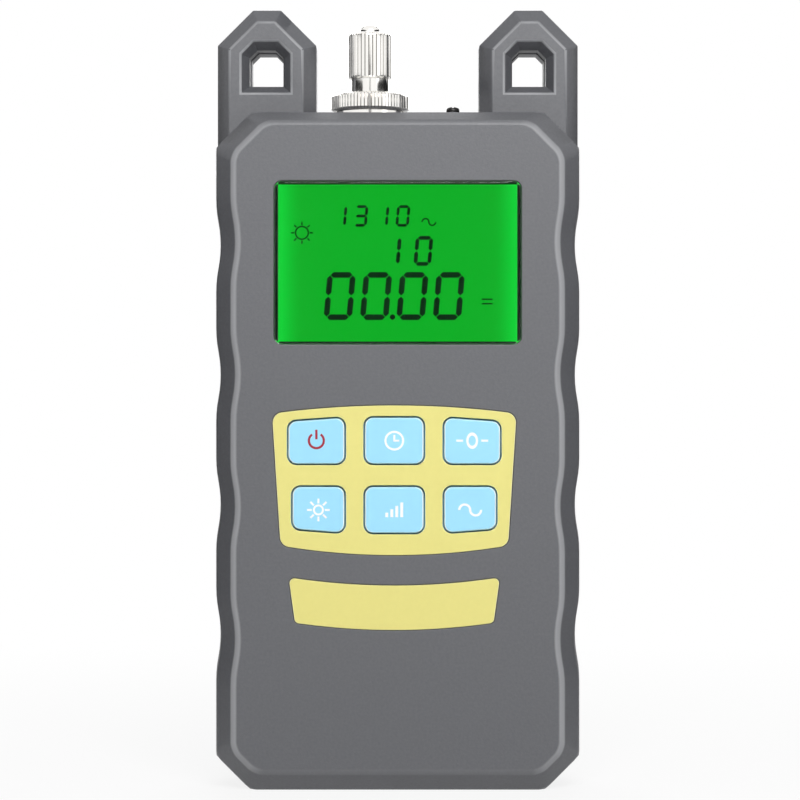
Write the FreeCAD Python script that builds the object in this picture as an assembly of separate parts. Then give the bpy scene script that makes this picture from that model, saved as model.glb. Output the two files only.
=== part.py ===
"""Handheld optical power meter: moulded case, display, keypad, battery bay and fibre port.

Frame: millimetres, +Z up along the case, -Y towards the person reading the display.
The origin is the middle of the bottom end, which the meter can stand on.
"""
import FreeCAD, Part
import math
import os

from FreeCAD import Vector

# ---- case outline, seen from the front ----
case_width = 82.0            # widest, at the seam between the two shells
case_height = 150.5          # bottom end to the top panel between the ears
wall = 2.2                   # moulded wall
side_draft = 0.8             # each side leans in by this from the seam to the bevel
face_inset_side = 4.6        # flat face edge, in from the widest side
face_inset_top = 2.4         # flat face edge, down from the top panel
face_inset_bottom = 4.4      # flat face edge, up from the bottom end
corner_cut_top = 7.7         # 45 degree corner, top of the case
corner_cut_bottom = 7.5      # 45 degree corner, bottom of the case
face_cut_top = 7.3           # the same corners on the flat face
face_cut_bottom = 4.9

grip_count = 4               # finger troughs down each side
grip_first_z = 33.9          # middle of the lowest trough
grip_last_drop = 29.0        # middle of the highest trough, below the top panel
grip_length = 21.0
grip_depth = 1.0

# ---- case section, front to back ----
key_proud = 0.7              # keys stand this far out of the front face
case_back_y = 16.5
case_depth = 32.3            # front face to back face
front_bevel_depth = 4.5
back_bevel_depth = 4.5
seam_y = -1.5                # the two shells meet on this plane
tongue_height = 1.2          # lip on the rear shell that enters the front shell
tongue_thickness = 0.9
tongue_clearance = 0.15

# ---- strap ears ----
ear_rise = 24.5              # ears above the top panel
ear_width = 22.5
ear_corner_cut = 8.0
ear_bevel = 3.0
ear_hole_width = 7.7
ear_hole_height = 8.2
ear_hole_drop = 13.2         # middle of the strap hole, below the ear's top
ear_hole_cut = 1.8           # 45 degree upper corners of the hole
ear_funnel_depth = 3.0
ear_funnel_flare = 1.8       # the recess round the hole widens by this to the ear's face
ear_hole_step = 0.25         # mould parting step half way through the hole
ear_hole_step_depth = 4.5

# ---- display ----
window_width = 54.7
window_height = 36.2
window_drop = 33.6           # middle of the window, below the top panel
window_round = 1.8
window_recess = 0.25         # lens face below the case face
window_thickness = 1.2
window_ledge = 0.7
window_clearance = 0.15
lcd_view_width = 52.9
lcd_view_height = 34.8
lcd_width = 57.0
lcd_height = 40.0
lcd_thickness = 2.2
lcd_frame_wall = 1.1
lcd_frame_lip = 0.7
lcd_fit = 0.1
backlight_thickness = 2.3

# ---- keypad ----
plate_offset_x = -0.75       # keypad and label sit a little left of the middle
plate_thickness = 0.6
plate_proud = 0.1
plate_clearance = 0.12
plate_top_width = 53.9
plate_bottom_width = 50.2
plate_top_drop = 66.9        # upper corners of the plate, below the top panel
plate_height = 29.1
plate_top_rise = 1.8
plate_bottom_rise = 2.1
plate_round = 2.3

key_gap = 0.35               # all round each key
key_round = 1.8
key_row_drop = 5.95          # middle of the upper row, below the plate's upper corners
key_row_pitch = 15.25
key_height = 10.1
key_middle_width = 12.9
key_side_width = 12.3
key_lower_side_width = 11.4
key_side_pitch = 17.15
key_slant = 0.9              # outer keys lose this much height at their outer end
key_lip = 0.5                # lip behind the case wall that keeps a key in
key_lip_thickness = 1.0
key_travel = 0.4
key_boss_size = 4.6
key_wall_clearance = 0.6     # the case wall stands this far back from a key, under the plate

switch_size = 6.0
switch_height = 3.4
switch_button_size = 3.2
switch_button_proud = 0.7
switch_button_bury = 0.6
switch_pocket_clearance = 0.15

# ---- label plate ----
label_top_width = 46.6
label_bottom_width = 43.8
label_gap = 7.0              # below the keypad plate, corner to corner
label_height = 10.0
label_top_sag = 1.8
label_bottom_sag = 1.6
label_round = 1.1
label_thickness = 0.6
label_proud = 0.1

# ---- circuit board ----
board_side_margin = 1.0      # board past the display glass on each side
board_bottom_z = 9.0
board_top_drop = 10.5        # upper end of the board, below the top panel
board_thickness = 1.6
board_face_y = -8.2          # component face, towards the keys
board_post_x = 27.0          # the board is held between posts of the two shells
board_post_low_z = 12.0
board_post_middle_gap = 6.9  # middle posts, above the keypad plate
board_post_high_drop = 20.5  # upper posts, below the top panel
board_post_size = 4.0
chip_size = 12.0
chip_height = 1.4
chip_z = 40.0

# ---- case screws ----
screw_hole_clearance = 0.08
case_screw_x = 33.3
case_screw_low_z = 14.0
case_screw_high_drop = 13.5  # upper screws, below the top panel
case_screw_radius = 1.3
case_screw_head_radius = 2.5
case_screw_head_height = 1.8
case_screw_length = 11.0
case_post_size = 7.0
case_screw_seat_y = 3.0
case_counterbore_radius = 2.9

# ---- battery bay ----
cell_radius = 7.15
cell_length = 49.2
cell_nub_radius = 2.7
cell_nub_height = 1.2
cell_pitch = 14.7
bay_bottom_z = 12.0
bay_wall = 1.5
bay_side_gap = 0.5
bay_floor_gap = 0.2
contact_reach = 3.3          # room at each end of a cell for its contact
contact_thickness = 0.5
contact_width = 9.0
contact_foot = 1.8           # half the width of a nub contact's raised foot
contact_tip = 0.9            # half the width of the flat that touches the cell
leaf_width = 6.3

door_width = 51.0
door_bottom_z = 8.0
door_overlap = 7.0           # door past the upper end of the bay
door_thickness = 1.5
door_gap = 0.25
door_round = 2.0
door_hook_x = 14.0
door_hook_width = 6.0
door_hook_reach = 2.2
door_hook_root = 1.6         # hook's foot, up from the door's lower edge
door_hook_thickness = 1.1
door_hook_gap = 0.25
door_groove_count = 5
door_groove_pitch = 2.2
door_groove_width = 1.0
door_groove_depth = 0.4
door_groove_length = 16.0
latch_width = 12.0
latch_slot = 0.8
latch_length = 9.0
latch_pocket_step = 1.0      # flat floor of the finger pocket above the door
latch_pocket_rise = 3.0      # slope from that floor out to the back face

# ---- fibre port on the top panel ----
port_x = -6.25
port_barrel_radius = 5.9
port_hole_clearance = 0.2
port_depth = 9.0             # below the top panel
port_flange_radius = 7.7
port_flange_height = 0.9
port_neck_radius = 6.4
port_neck_height = 2.9       # top of the port above the panel
diode_bore_radius = 2.8
nut_across_flats = 15.0
nut_thickness = 2.5
thread_gap = 0.15

diode_can_radius = 2.7
diode_can_height = 4.0
diode_lead_size = 0.5
diode_lead_offset = 1.27
detector_board_width = 12.0
detector_board_thickness = 1.0
detector_board_reach = 5.0   # past the port axis, towards the back
diode_lead_length = 2.7      # between the photodiode's base and its board

adapter_flange_height = 0.8
adapter_collar_radius = 4.2
adapter_collar_top = 8.3     # above the panel
adapter_barrel_radius = 4.0
adapter_barrel_top = 16.8
adapter_cavity_radius = 3.05
adapter_cavity_floor = 8.0
adapter_key_width = 2.2
adapter_key_depth = 2.0

sleeve_bore_radius = 1.25
sleeve_radius = 1.7
sleeve_fit = 0.06
sleeve_top = 13.5

ring_radius = 8.83
ring_bottom = 1.0
ring_top = 4.9
ring_lip = 1.05
ring_lip_radius = 4.5
ring_teeth = 70
ring_tooth_depth = 0.35

cap_radius = 4.92
cap_bottom = 8.4
cap_top = 18.5
cap_roof = 1.2
cap_teeth = 35
cap_tooth_depth = 0.28
rivet_head_radius = 2.2
rivet_head_height = 2.05
rivet_shank_radius = 0.8
rivet_clench_radius = 1.6
rivet_clench_height = 0.6
rivet_fit = 0.1

# ---- tether screw on the top panel ----
tether_x = 12.35
tether_y = -6.5
tether_washer_radius = 1.75
tether_washer_height = 0.4
tether_head_radius = 1.5
tether_head_height = 1.25
tether_shank_radius = 0.9
tether_length = 5.0
tether_boss_size = 4.6

# ---- values that follow from the above ----
half_width = case_width / 2
overall_height = case_height + ear_rise
grip_pitch = (case_height - grip_last_drop - grip_first_z) / (grip_count - 1)
ear_hole_z = overall_height - ear_hole_drop
window_z = case_height - window_drop
plate_top_z = case_height - plate_top_drop
plate_bottom_z = plate_top_z - plate_height
key_row_upper_z = plate_top_z - key_row_drop
label_top_z = plate_bottom_z - label_gap
label_bottom_z = label_top_z - label_height
board_width = lcd_width + 2 * board_side_margin
board_top_z = case_height - board_top_drop
board_post_middle_z = plate_top_z + board_post_middle_gap
board_post_high_z = case_height - board_post_high_drop
case_screw_high_z = case_height - case_screw_high_drop
case_front_y = case_back_y - case_depth
front_bevel_y = case_front_y + front_bevel_depth
back_bevel_y = case_back_y - back_bevel_depth
front_inside_y = case_front_y + wall
back_inside_y = case_back_y - wall
key_face_y = case_front_y - key_proud
ear_middle_x = half_width - ear_width / 2
board_back_y = board_face_y + board_thickness
door_inside_y = case_back_y - door_thickness
bay_half_width = cell_radius + cell_pitch + bay_side_gap
bay_top_z = bay_bottom_z + cell_length + cell_nub_height + 2 * contact_reach
door_top_z = bay_top_z + door_overlap
bay_floor_y = seam_y + bay_wall
cell_axis_y = bay_floor_y + bay_floor_gap + cell_radius
port_y = seam_y
switch_face_y = board_face_y - switch_height
window_front_y = case_front_y + window_recess
ledge_y = window_front_y + window_thickness
lcd_front_y = front_inside_y + lcd_frame_lip
adapter_flange_top = port_neck_height + adapter_flange_height
thread_radius_in_cap = adapter_barrel_radius + thread_gap
over = 1.0                   # how far cutting solids run past what they cut
faceted_sides = 12           # sides of small round forms that repeat

KEYS = ("power", "auto_off", "zero", "light", "db", "wavelength")


# ---- small helpers ----
def save(shape, node):
    """Write one node, after making sure that each of its solids is sound."""
    for solid in shape.Solids:
        if not solid.isValid():
            raise ValueError(node + " has an unsound solid")
    shape.exportStep("parts/" + node + ".step")


def box(x0, x1, y0, y1, z0, z1):
    """Block between two opposite corners."""
    return Part.makeBox(x1 - x0, y1 - y0, z1 - z0, Vector(x0, y0, z0))


def rod(radius, start, length, direction):
    """Round bar from a start point along a direction."""
    return Part.makeCylinder(radius, length, start, direction)


def faceted_rod(radius, start, length, direction):
    """Rod of few flat sides, for small round forms that repeat."""
    points = []
    for index in range(faceted_sides):
        angle = 2 * math.pi * (index + 0.5) / faceted_sides
        points.append(Vector(radius * math.cos(angle), radius * math.sin(angle), 0))
    body = Part.Face(polygon_wire(points)).extrude(Vector(0, 0, length))
    body.Placement = FreeCAD.Placement(start, FreeCAD.Rotation(Vector(0, 0, 1), direction))
    return body


def polygon_wire(points):
    """Closed wire of straight edges through points."""
    return Part.makePolygon(list(points) + [points[0]])


def prism(wire, y0, y1):
    """Solid between y0 and y1 with a wire drawn at y = 0 as its outline."""
    face = Part.Face(wire)
    solid = face.extrude(Vector(0, y1 - y0, 0))
    solid.translate(Vector(0, y0, 0))
    return solid


def taper(wire_a, y_a, wire_b, y_b):
    """Solid between two outlines: flat sides between lines, ruled ones between arcs."""
    start = wire_a.copy()
    start.translate(Vector(0, y_a, 0))
    end = wire_b.copy()
    end.translate(Vector(0, y_b, 0))
    faces = [Part.Face(start), Part.Face(end)]
    for edge_a, edge_b in zip(start.OrderedEdges, end.OrderedEdges):
        if isinstance(edge_a.Curve, Part.Line):
            faces.append(Part.Face(polygon_wire([
                edge_a.firstVertex(True).Point, edge_a.lastVertex(True).Point,
                edge_b.lastVertex(True).Point, edge_b.firstVertex(True).Point])))
        else:
            faces.append(Part.makeRuledSurface(edge_a, edge_b))
    shell = Part.makeShell(faces)
    shell.sewShape()
    return Part.makeSolid(shell)


def turned(profile, x=0.0, y=0.0, z=0.0):
    """Solid of revolution about a vertical axis from (radius, height) points."""
    points = [Vector(r, 0, h) for r, h in profile]
    solid = Part.Face(polygon_wire(points)).revolve(Vector(0, 0, 0), Vector(0, 0, 1), 360)
    solid.translate(Vector(x, y, z))
    return solid


def edges_along(shape, direction, longer_than=0.0):
    """Straight edges of a solid that run along a direction."""
    found = []
    for edge in shape.Edges:
        if not isinstance(edge.Curve, Part.Line) or edge.Length <= longer_than:
            continue
        along = edge.tangentAt(edge.FirstParameter)
        if abs(along.dot(direction)) > 0.9999:
            found.append(edge)
    return found


def round_prism_corners(solid, radius):
    """Round the corners of a prism that runs front to back."""
    return solid.makeFillet(radius, edges_along(solid, Vector(0, 1, 0)))


def mirrored(shape):
    """The same shape on the other side of the middle plane."""
    return shape.mirror(Vector(0, 0, 0), Vector(1, 0, 0))


def plain_box(width, height, middle_z, y0, y1):
    """Rectangular prism on the middle plane, as seen from the front."""
    return box(-width / 2, width / 2, y0, y1, middle_z - height / 2, middle_z + height / 2)


def rounded_box(width, height, middle_z, y0, y1, radius):
    """The same with round corners."""
    return round_prism_corners(plain_box(width, height, middle_z, y0, y1), radius)


# ---- case outline ----
def grip_edges(side_x, inward, upward):
    """Side of the case with its finger troughs, as edges from one end to the other.

    Each trough is an S curve in and an S curve out: four equal arcs that meet tangent.
    """
    quarter = grip_length / 4
    edges = []
    order = range(grip_count) if upward else reversed(range(grip_count))
    step = 1 if upward else -1
    for index in order:
        middle = grip_first_z + index * grip_pitch
        start = middle - step * grip_length / 2
        shelf = Vector(side_x, 0, start)
        turn = Vector(side_x + inward * grip_depth / 2, 0, start + step * quarter)
        low = Vector(side_x + inward * grip_depth, 0, middle)
        turn_back = Vector(turn.x, 0, middle + step * quarter)
        shelf_end = Vector(side_x, 0, middle + step * grip_length / 2)
        eighth = grip_depth / 8
        edges.append(Part.Arc(shelf, Vector(side_x + inward * eighth, 0, start + step * quarter / 2),
                              turn).toShape())
        edges.append(Part.Arc(turn, Vector(low.x, 0, middle), turn_back).toShape())
        edges.append(Part.Arc(turn_back, Vector(side_x + inward * eighth, 0,
                                                shelf_end.z - step * quarter / 2), shelf_end).toShape())
    return edges


def case_wire(inset_side, inset_top, inset_bottom, cut_top, cut_bottom):
    """Case outline with the troughs in both sides."""
    x = half_width - inset_side
    top = case_height - inset_top
    bottom = inset_bottom
    right = grip_edges(x, -1, True)
    left = grip_edges(-x, 1, False)
    corners = [Vector(x, 0, top - cut_top), Vector(x - cut_top, 0, top),
               Vector(-x + cut_top, 0, top), Vector(-x, 0, top - cut_top)]
    feet = [Vector(-x, 0, bottom + cut_bottom), Vector(-x + cut_bottom, 0, bottom),
            Vector(x - cut_bottom, 0, bottom), Vector(x, 0, bottom + cut_bottom)]
    edges = join_runs(feet[-1], right, corners[0])
    edges += straight_run(corners)
    edges += join_runs(corners[-1], left, feet[0])
    edges += straight_run(feet)
    return Part.Wire(edges)


def straight_run(points):
    """Straight edges through points."""
    return [Part.makeLine(a, b) for a, b in zip(points, points[1:])]


def join_runs(start, arcs, end):
    """Trough arcs joined by the straight lands between them."""
    edges = []
    here = start
    for index in range(0, len(arcs), 3):
        trough = arcs[index:index + 3]
        ends = sorted((v.Point for arc in trough for v in arc.Vertexes), key=lambda p: p.z)
        near, far = ends[0], ends[-1]
        if abs(far.z - here.z) < abs(near.z - here.z):
            near, far = far, near
        edges.append(Part.makeLine(here, near))
        edges += trough
        here = far
    edges.append(Part.makeLine(here, end))
    return edges


def seam_wire():
    """Outline at the seam, where the case is widest."""
    return case_wire(0.0, 0.0, 0.0, corner_cut_top, corner_cut_bottom)


def shoulder_wire():
    """Outline where the sides end and the bevel begins."""
    return case_wire(side_draft, 0.0, 0.0, corner_cut_top, corner_cut_bottom)


def face_wire():
    """Outline of the flat face inside the bevel."""
    return case_wire(face_inset_side, face_inset_top, face_inset_bottom,
                     face_cut_top, face_cut_bottom)


def plain_wire(inset_side, inset_top, inset_bottom, cut_top, cut_bottom):
    """Straight-sided outline for the inside of the case."""
    x = half_width - inset_side
    top = case_height - inset_top
    bottom = inset_bottom
    return polygon_wire([
        Vector(x, 0, bottom + cut_bottom), Vector(x, 0, top - cut_top),
        Vector(x - cut_top, 0, top), Vector(-x + cut_top, 0, top),
        Vector(-x, 0, top - cut_top), Vector(-x, 0, bottom + cut_bottom),
        Vector(-x + cut_bottom, 0, bottom), Vector(x - cut_bottom, 0, bottom)])


def inside_wire(extra_side, extra_ends):
    """Inside outline: a wall in from the troughs, and further in by the extras."""
    return plain_wire(grip_depth + wall + extra_side, wall + extra_ends, wall + extra_ends,
                      corner_cut_top - extra_ends / 2, corner_cut_bottom - extra_ends / 2)


def case_half(seam, shoulder_y, face_y):
    """Outer form of one shell, from the seam to its flat face."""
    side = taper(seam_wire(), seam, shoulder_wire(), shoulder_y)
    bevel = taper(shoulder_wire(), shoulder_y, face_wire(), face_y)
    return side.fuse(bevel).removeSplitter()


def cavity_half(seam, shoulder_y, inner_y):
    """Hollow inside of one shell."""
    bevel_extra = face_inset_side - side_draft
    deep = taper(inside_wire(side_draft, 0.0), shoulder_y,
                 inside_wire(side_draft + bevel_extra, bevel_extra), inner_y)
    straight = taper(inside_wire(0.0, 0.0), seam, inside_wire(side_draft, 0.0), shoulder_y)
    return straight.fuse(deep).removeSplitter()


def seam_ring(outer_extra, inner_extra, y0, y1):
    """Band that follows the inside of the wall, used for the tongue and its rebate."""
    outer = prism(inside_wire(-outer_extra, -outer_extra), y0, y1)
    inner = prism(inside_wire(-inner_extra, -inner_extra), y0 - over, y1 + over)
    return outer.cut(inner)


def port_hole():
    """Round hole in the top panel, half in each shell."""
    radius = port_barrel_radius + port_hole_clearance
    return rod(radius, Vector(port_x, port_y, case_height - port_depth), port_depth + over,
               Vector(0, 0, 1))


def square_post(x, z, size, y0, y1):
    """Square post that runs front to back."""
    half = size / 2
    return box(x - half, x + half, y0, y1, z - half, z + half)


def case_screw_places():
    """Where the four case screws stand: (x, z)."""
    return [(side * case_screw_x, z) for side in (-1, 1) for z in (case_screw_low_z, case_screw_high_z)]


def corner_posts(y0, y1):
    """Four square posts round the case screws."""
    return [square_post(x, z, case_post_size, y0, y1) for x, z in case_screw_places()]


def corner_holes(radius, y0, y1):
    """Four holes along the case screws."""
    return [faceted_rod(radius, Vector(x, y0, z), y1 - y0, Vector(0, 1, 0))
            for x, z in case_screw_places()]


def board_posts(heights, y0, y1):
    """Pairs of square posts that the board is held between."""
    return [square_post(side * board_post_x, z, board_post_size, y0, y1)
            for side in (-1, 1) for z in heights]


# ---- keypad and label outlines ----
def bowed_plate(top_width, bottom_width, top_z, bottom_z, top_bow, bottom_bow, grow, radius, y0, y1):
    """Plate with curved upper and lower edges and leaning sides, grown all round by a gap."""
    top_x = top_width / 2 + grow
    bottom_x = bottom_width / 2 + grow
    top = top_z + grow
    bottom = bottom_z - grow
    cx = plate_offset_x
    corners = [Vector(cx - bottom_x, 0, bottom), Vector(cx + bottom_x, 0, bottom),
               Vector(cx + top_x, 0, top), Vector(cx - top_x, 0, top)]
    lower = Part.Arc(corners[0], Vector(cx, 0, bottom - bottom_bow), corners[1]).toShape()
    upper = Part.Arc(corners[2], Vector(cx, 0, top + top_bow), corners[3]).toShape()
    right = Part.makeLine(corners[1], corners[2])
    left = Part.makeLine(corners[3], corners[0])
    solid = prism(Part.Wire([lower, right, upper, left]), y0, y1)
    return round_prism_corners(solid, radius + grow)


def keypad_form(grow, y0, y1):
    """Keypad plate, or its pocket when grown."""
    return bowed_plate(plate_top_width, plate_bottom_width, plate_top_z, plate_bottom_z,
                       plate_top_rise, plate_bottom_rise, grow, plate_round, y0, y1)


def label_form(grow, y0, y1):
    """Label plate, or its pocket when grown."""
    return bowed_plate(label_top_width, label_bottom_width, label_top_z, label_bottom_z,
                       -label_top_sag, label_bottom_sag, grow, label_round, y0, y1)


def key_place(name):
    """Middle of a key and its width: (x, z, width, outer side, upper row)."""
    index = KEYS.index(name)
    column = index % 3 - 1
    upper = index < 3
    z = key_row_upper_z if upper else key_row_upper_z - key_row_pitch
    outer_width = key_side_width if upper else key_lower_side_width
    width = outer_width if column else key_middle_width
    pull = (key_side_width - width) / 2 if column else 0.0
    x = plate_offset_x + column * (key_side_pitch - pull)
    return x, z, width, column, upper


def key_form(name, grow, y0, y1):
    """Key outline: the outer keys follow the plate's curved edge with one slanted side."""
    x, z, width, column, upper = key_place(name)
    half = width / 2 + grow
    low = z - key_height / 2 - grow
    high = z + key_height / 2 + grow
    slant_left = key_slant if column < 0 else 0.0
    slant_right = key_slant if column > 0 else 0.0
    if upper:
        points = [Vector(x - half, 0, low), Vector(x + half, 0, low),
                  Vector(x + half, 0, high - slant_right), Vector(x - half, 0, high - slant_left)]
    else:
        points = [Vector(x - half, 0, low + slant_left), Vector(x + half, 0, low + slant_right),
                  Vector(x + half, 0, high), Vector(x - half, 0, high)]
    return round_prism_corners(prism(polygon_wire(points), y0, y1), key_round + grow)


def key_block(name, grow, y0, y1):
    """Plain block round a key, for the parts of it that the plate hides."""
    x, z, width, *_ = key_place(name)
    return box(x - width / 2 - grow, x + width / 2 + grow, y0, y1,
               z - key_height / 2 - grow, z + key_height / 2 + grow)


# ---- shells ----
def make_front_shell():
    """Front moulding: bevelled face, display opening, keypad pockets and inner posts."""
    shell = case_half(seam_y, front_bevel_y, case_front_y)
    shell = shell.cut(cavity_half(seam_y, front_bevel_y, front_inside_y))
    rebate = seam_ring(tongue_thickness + tongue_clearance, -over,
                       seam_y - tongue_height - tongue_clearance, seam_y + over)
    shell = shell.cut(rebate)
    posts = corner_posts(front_inside_y - wall / 2, seam_y)
    posts += board_posts((board_post_low_z, board_post_middle_z), front_inside_y - wall / 2,
                         board_face_y)
    posts.append(tether_boss())
    shell = shell.fuse(posts)
    cuts = corner_holes(case_screw_radius + screw_hole_clearance, screw_tip_y() - over / 2,
                        seam_y + over)
    cuts.append(faceted_rod(tether_shank_radius + screw_hole_clearance,
                            Vector(tether_x, tether_y, case_height - tether_length - over / 2),
                            tether_length + over, Vector(0, 0, 1)))
    cuts.append(rounded_box(window_width, window_height, window_z, case_front_y - over, ledge_y,
                            window_round))
    cuts.append(plain_box(window_width - 2 * window_ledge, window_height - 2 * window_ledge,
                          window_z, ledge_y - over, front_inside_y + over))
    cuts.append(keypad_form(plate_clearance, case_front_y - over,
                            case_front_y + plate_thickness - plate_proud))
    cuts.append(label_form(plate_clearance, case_front_y - over,
                           case_front_y + label_thickness - label_proud))
    cuts += [key_block(name, key_wall_clearance, case_front_y, front_inside_y + over) for name in KEYS]
    cuts.append(port_hole())
    return shell.cut(cuts).removeSplitter()


def tether_boss():
    """Boss under the top panel that the tether screw bites into."""
    half = tether_boss_size / 2
    return box(tether_x - half, tether_x + half, tether_y - half, tether_y + half,
               case_height - tether_length - over, case_height - wall / 2)


def ear_wire(inset, y):
    """Outline of the right strap ear at a depth; its foot follows the case's cut corner."""
    lean = side_draft * (y - seam_y) / (back_bevel_y - seam_y)
    x0 = ear_middle_x - ear_width / 2 + inset
    x1 = ear_middle_x + ear_width / 2 - inset - lean
    top = overall_height - inset
    cut = ear_corner_cut - inset * (2 - math.sqrt(2))
    foot = case_height - wall
    shelf = half_width - corner_cut_top
    return polygon_wire([Vector(x0, 0, foot), Vector(shelf, 0, foot),
                         Vector(x1, 0, foot - (x1 - shelf)), Vector(x1, 0, top - cut),
                         Vector(x1 - cut, 0, top), Vector(x0 + cut, 0, top),
                         Vector(x0, 0, top - cut)])


def ear_hole_wire(grow):
    """Strap hole outline with cut upper corners."""
    half = ear_hole_width / 2 + grow
    low = ear_hole_z - ear_hole_height / 2 - grow
    high = ear_hole_z + ear_hole_height / 2 + grow
    cut = ear_hole_cut + grow * (2 - math.sqrt(2))
    x = ear_middle_x
    return polygon_wire([Vector(x - half, 0, low), Vector(x + half, 0, low),
                         Vector(x + half, 0, high - cut), Vector(x + half - cut, 0, high),
                         Vector(x - half + cut, 0, high), Vector(x - half, 0, high - cut)])


def make_ear():
    """Right strap ear: bevelled front and back, with a funnel round its hole."""
    front_edge = seam_y + ear_bevel
    back_edge = back_bevel_y - ear_bevel
    ear = taper(ear_wire(ear_bevel, seam_y), seam_y, ear_wire(0.0, front_edge), front_edge)
    middle = taper(ear_wire(0.0, front_edge), front_edge, ear_wire(0.0, back_edge), back_edge)
    back = taper(ear_wire(0.0, back_edge), back_edge, ear_wire(ear_bevel, back_bevel_y), back_bevel_y)
    ear = ear.fuse([middle, back]).removeSplitter()
    funnel = taper(ear_hole_wire(ear_funnel_flare), seam_y, ear_hole_wire(0.0),
                   seam_y + ear_funnel_depth)
    front_hole = prism(ear_hole_wire(0.0), seam_y + ear_funnel_depth,
                       seam_y + ear_funnel_depth + ear_hole_step_depth)
    back_hole = prism(ear_hole_wire(-ear_hole_step), seam_y, back_bevel_y + over)
    return ear.cut([funnel, front_hole, back_hole])


def bay_block(grow, y0, y1):
    """Battery bay as a block, grown by its wall."""
    return box(-bay_half_width - grow, bay_half_width + grow, y0, y1,
               bay_bottom_z - grow, bay_top_z + grow)


def door_form(shrink, y0, y1):
    """Battery door outline as a prism."""
    height = door_top_z - door_bottom_z
    return rounded_box(door_width - 2 * shrink, height - 2 * shrink, (door_top_z + door_bottom_z) / 2,
                       y0, y1, door_round)


def hook_notches():
    """Room below the door for its hooks to sit and to swing out."""
    swing = door_hook_reach + door_thickness + door_hook_thickness
    return [box(x0, x0 + door_hook_width + 2 * door_gap, case_back_y - swing, door_inside_y,
                door_bottom_z, bay_bottom_z + over) for x0 in hook_starts()]


def latch_pocket():
    """Finger pocket in the rear wall above the door."""
    floor_z = door_top_z + latch_pocket_step
    ramp = polygon_wire([Vector(0, case_back_y, door_top_z - over),
                         Vector(0, case_back_y, floor_z + latch_pocket_rise),
                         Vector(0, door_inside_y, floor_z),
                         Vector(0, door_inside_y, door_top_z - over)])
    pocket = Part.Face(ramp).extrude(Vector(latch_width, 0, 0))
    pocket.translate(Vector(-latch_width / 2, 0, 0))
    return pocket


def make_rear_shell():
    """Rear moulding with the strap ears, battery bay and screw posts."""
    shell = case_half(seam_y, back_bevel_y, case_back_y)
    ear = make_ear()
    shell = shell.fuse([ear, mirrored(ear)])
    shell = shell.cut(cavity_half(seam_y, back_bevel_y, back_inside_y))
    tongue = seam_ring(tongue_thickness, 0.0, seam_y - tongue_height, seam_y + wall)
    shell = shell.fuse(tongue)
    shell = shell.fuse(corner_posts(seam_y, back_inside_y + wall / 2))
    shell = shell.fuse(bay_block(bay_wall, seam_y, back_inside_y + wall / 2))
    shell = shell.fuse(board_posts((board_post_middle_z, board_post_high_z), board_back_y,
                                   back_inside_y + wall / 2))
    shell = shell.fuse(bay_feet())
    cuts = [bay_block(0.0, bay_floor_y, case_back_y + over),
            door_form(0.0, door_inside_y, case_back_y + over), latch_pocket(), port_hole()]
    cuts += hook_notches()
    cuts += corner_holes(case_screw_radius + screw_hole_clearance, seam_y - over, case_back_y)
    cuts += corner_holes(case_counterbore_radius, case_screw_seat_y, case_back_y + over)
    return shell.cut(cuts).removeSplitter()


def bay_feet():
    """Two feet on the battery bay's floor that press on the lower end of the board."""
    x = bay_half_width + bay_wall - board_post_size / 2
    return [square_post(side * x, board_post_low_z + board_post_size, board_post_size,
                        board_back_y, seam_y + bay_wall) for side in (-1, 1)]


def hook_starts():
    """Left side of the room for each door hook."""
    return [side * door_hook_x - door_hook_width / 2 - door_gap for side in (-1, 1)]


def make_battery_door():
    """Battery door with two hooks below and a spring latch above."""
    door = door_form(door_gap, door_inside_y, case_back_y)
    hook_y = back_inside_y - door_hook_gap
    for start in hook_starts():
        x0 = start + door_gap
        x1 = x0 + door_hook_width
        foot = box(x0, x1, hook_y - door_hook_thickness, door_inside_y + door_thickness / 2,
                   door_bottom_z + door_gap, door_bottom_z + door_gap + door_hook_root)
        toe = box(x0, x1, hook_y - door_hook_thickness, hook_y,
                  door_bottom_z - door_hook_reach, door_bottom_z + door_gap + door_hook_root)
        door = door.fuse([foot, toe])
    half = latch_width / 2
    slots = [box(side * half - latch_slot / 2, side * half + latch_slot / 2,
                 door_inside_y - over, case_back_y + over,
                 door_top_z - latch_length, door_top_z + over) for side in (-1, 1)]
    door = door.cut(slots)
    ridge_top = door_top_z - latch_length - door_groove_pitch
    grooves = [box(-door_groove_length / 2, door_groove_length / 2,
                   case_back_y - door_groove_depth, case_back_y + over,
                   ridge_top - i * door_groove_pitch - door_groove_width,
                   ridge_top - i * door_groove_pitch) for i in range(door_groove_count)]
    return door.cut(grooves).removeSplitter()


# ---- display ----
def make_display_window():
    """Clear lens in the case's opening."""
    return rounded_box(window_width - 2 * window_clearance, window_height - 2 * window_clearance,
                       window_z, window_front_y, ledge_y, window_round - window_clearance)


def make_lcd_frame():
    """Black frame that holds the glass and the light panel against the board."""
    outer = lcd_fit + lcd_frame_wall
    frame = plain_box(lcd_width + 2 * outer, lcd_height + 2 * outer, window_z,
                      front_inside_y, board_face_y)
    inside = box(-lcd_width / 2 - lcd_fit, lcd_width / 2 + lcd_fit, lcd_front_y, board_face_y + over,
                 window_z - lcd_height / 2 - lcd_fit, window_z + lcd_height / 2 + lcd_fit)
    view = box(-lcd_view_width / 2, lcd_view_width / 2, front_inside_y - over, lcd_front_y + over,
               window_z - lcd_view_height / 2, window_z + lcd_view_height / 2)
    return frame.cut([inside, view])


def lcd_layer(y0, y1):
    """Flat layer of the display."""
    return box(-lcd_width / 2, lcd_width / 2, y0, y1,
               window_z - lcd_height / 2, window_z + lcd_height / 2)


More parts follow.
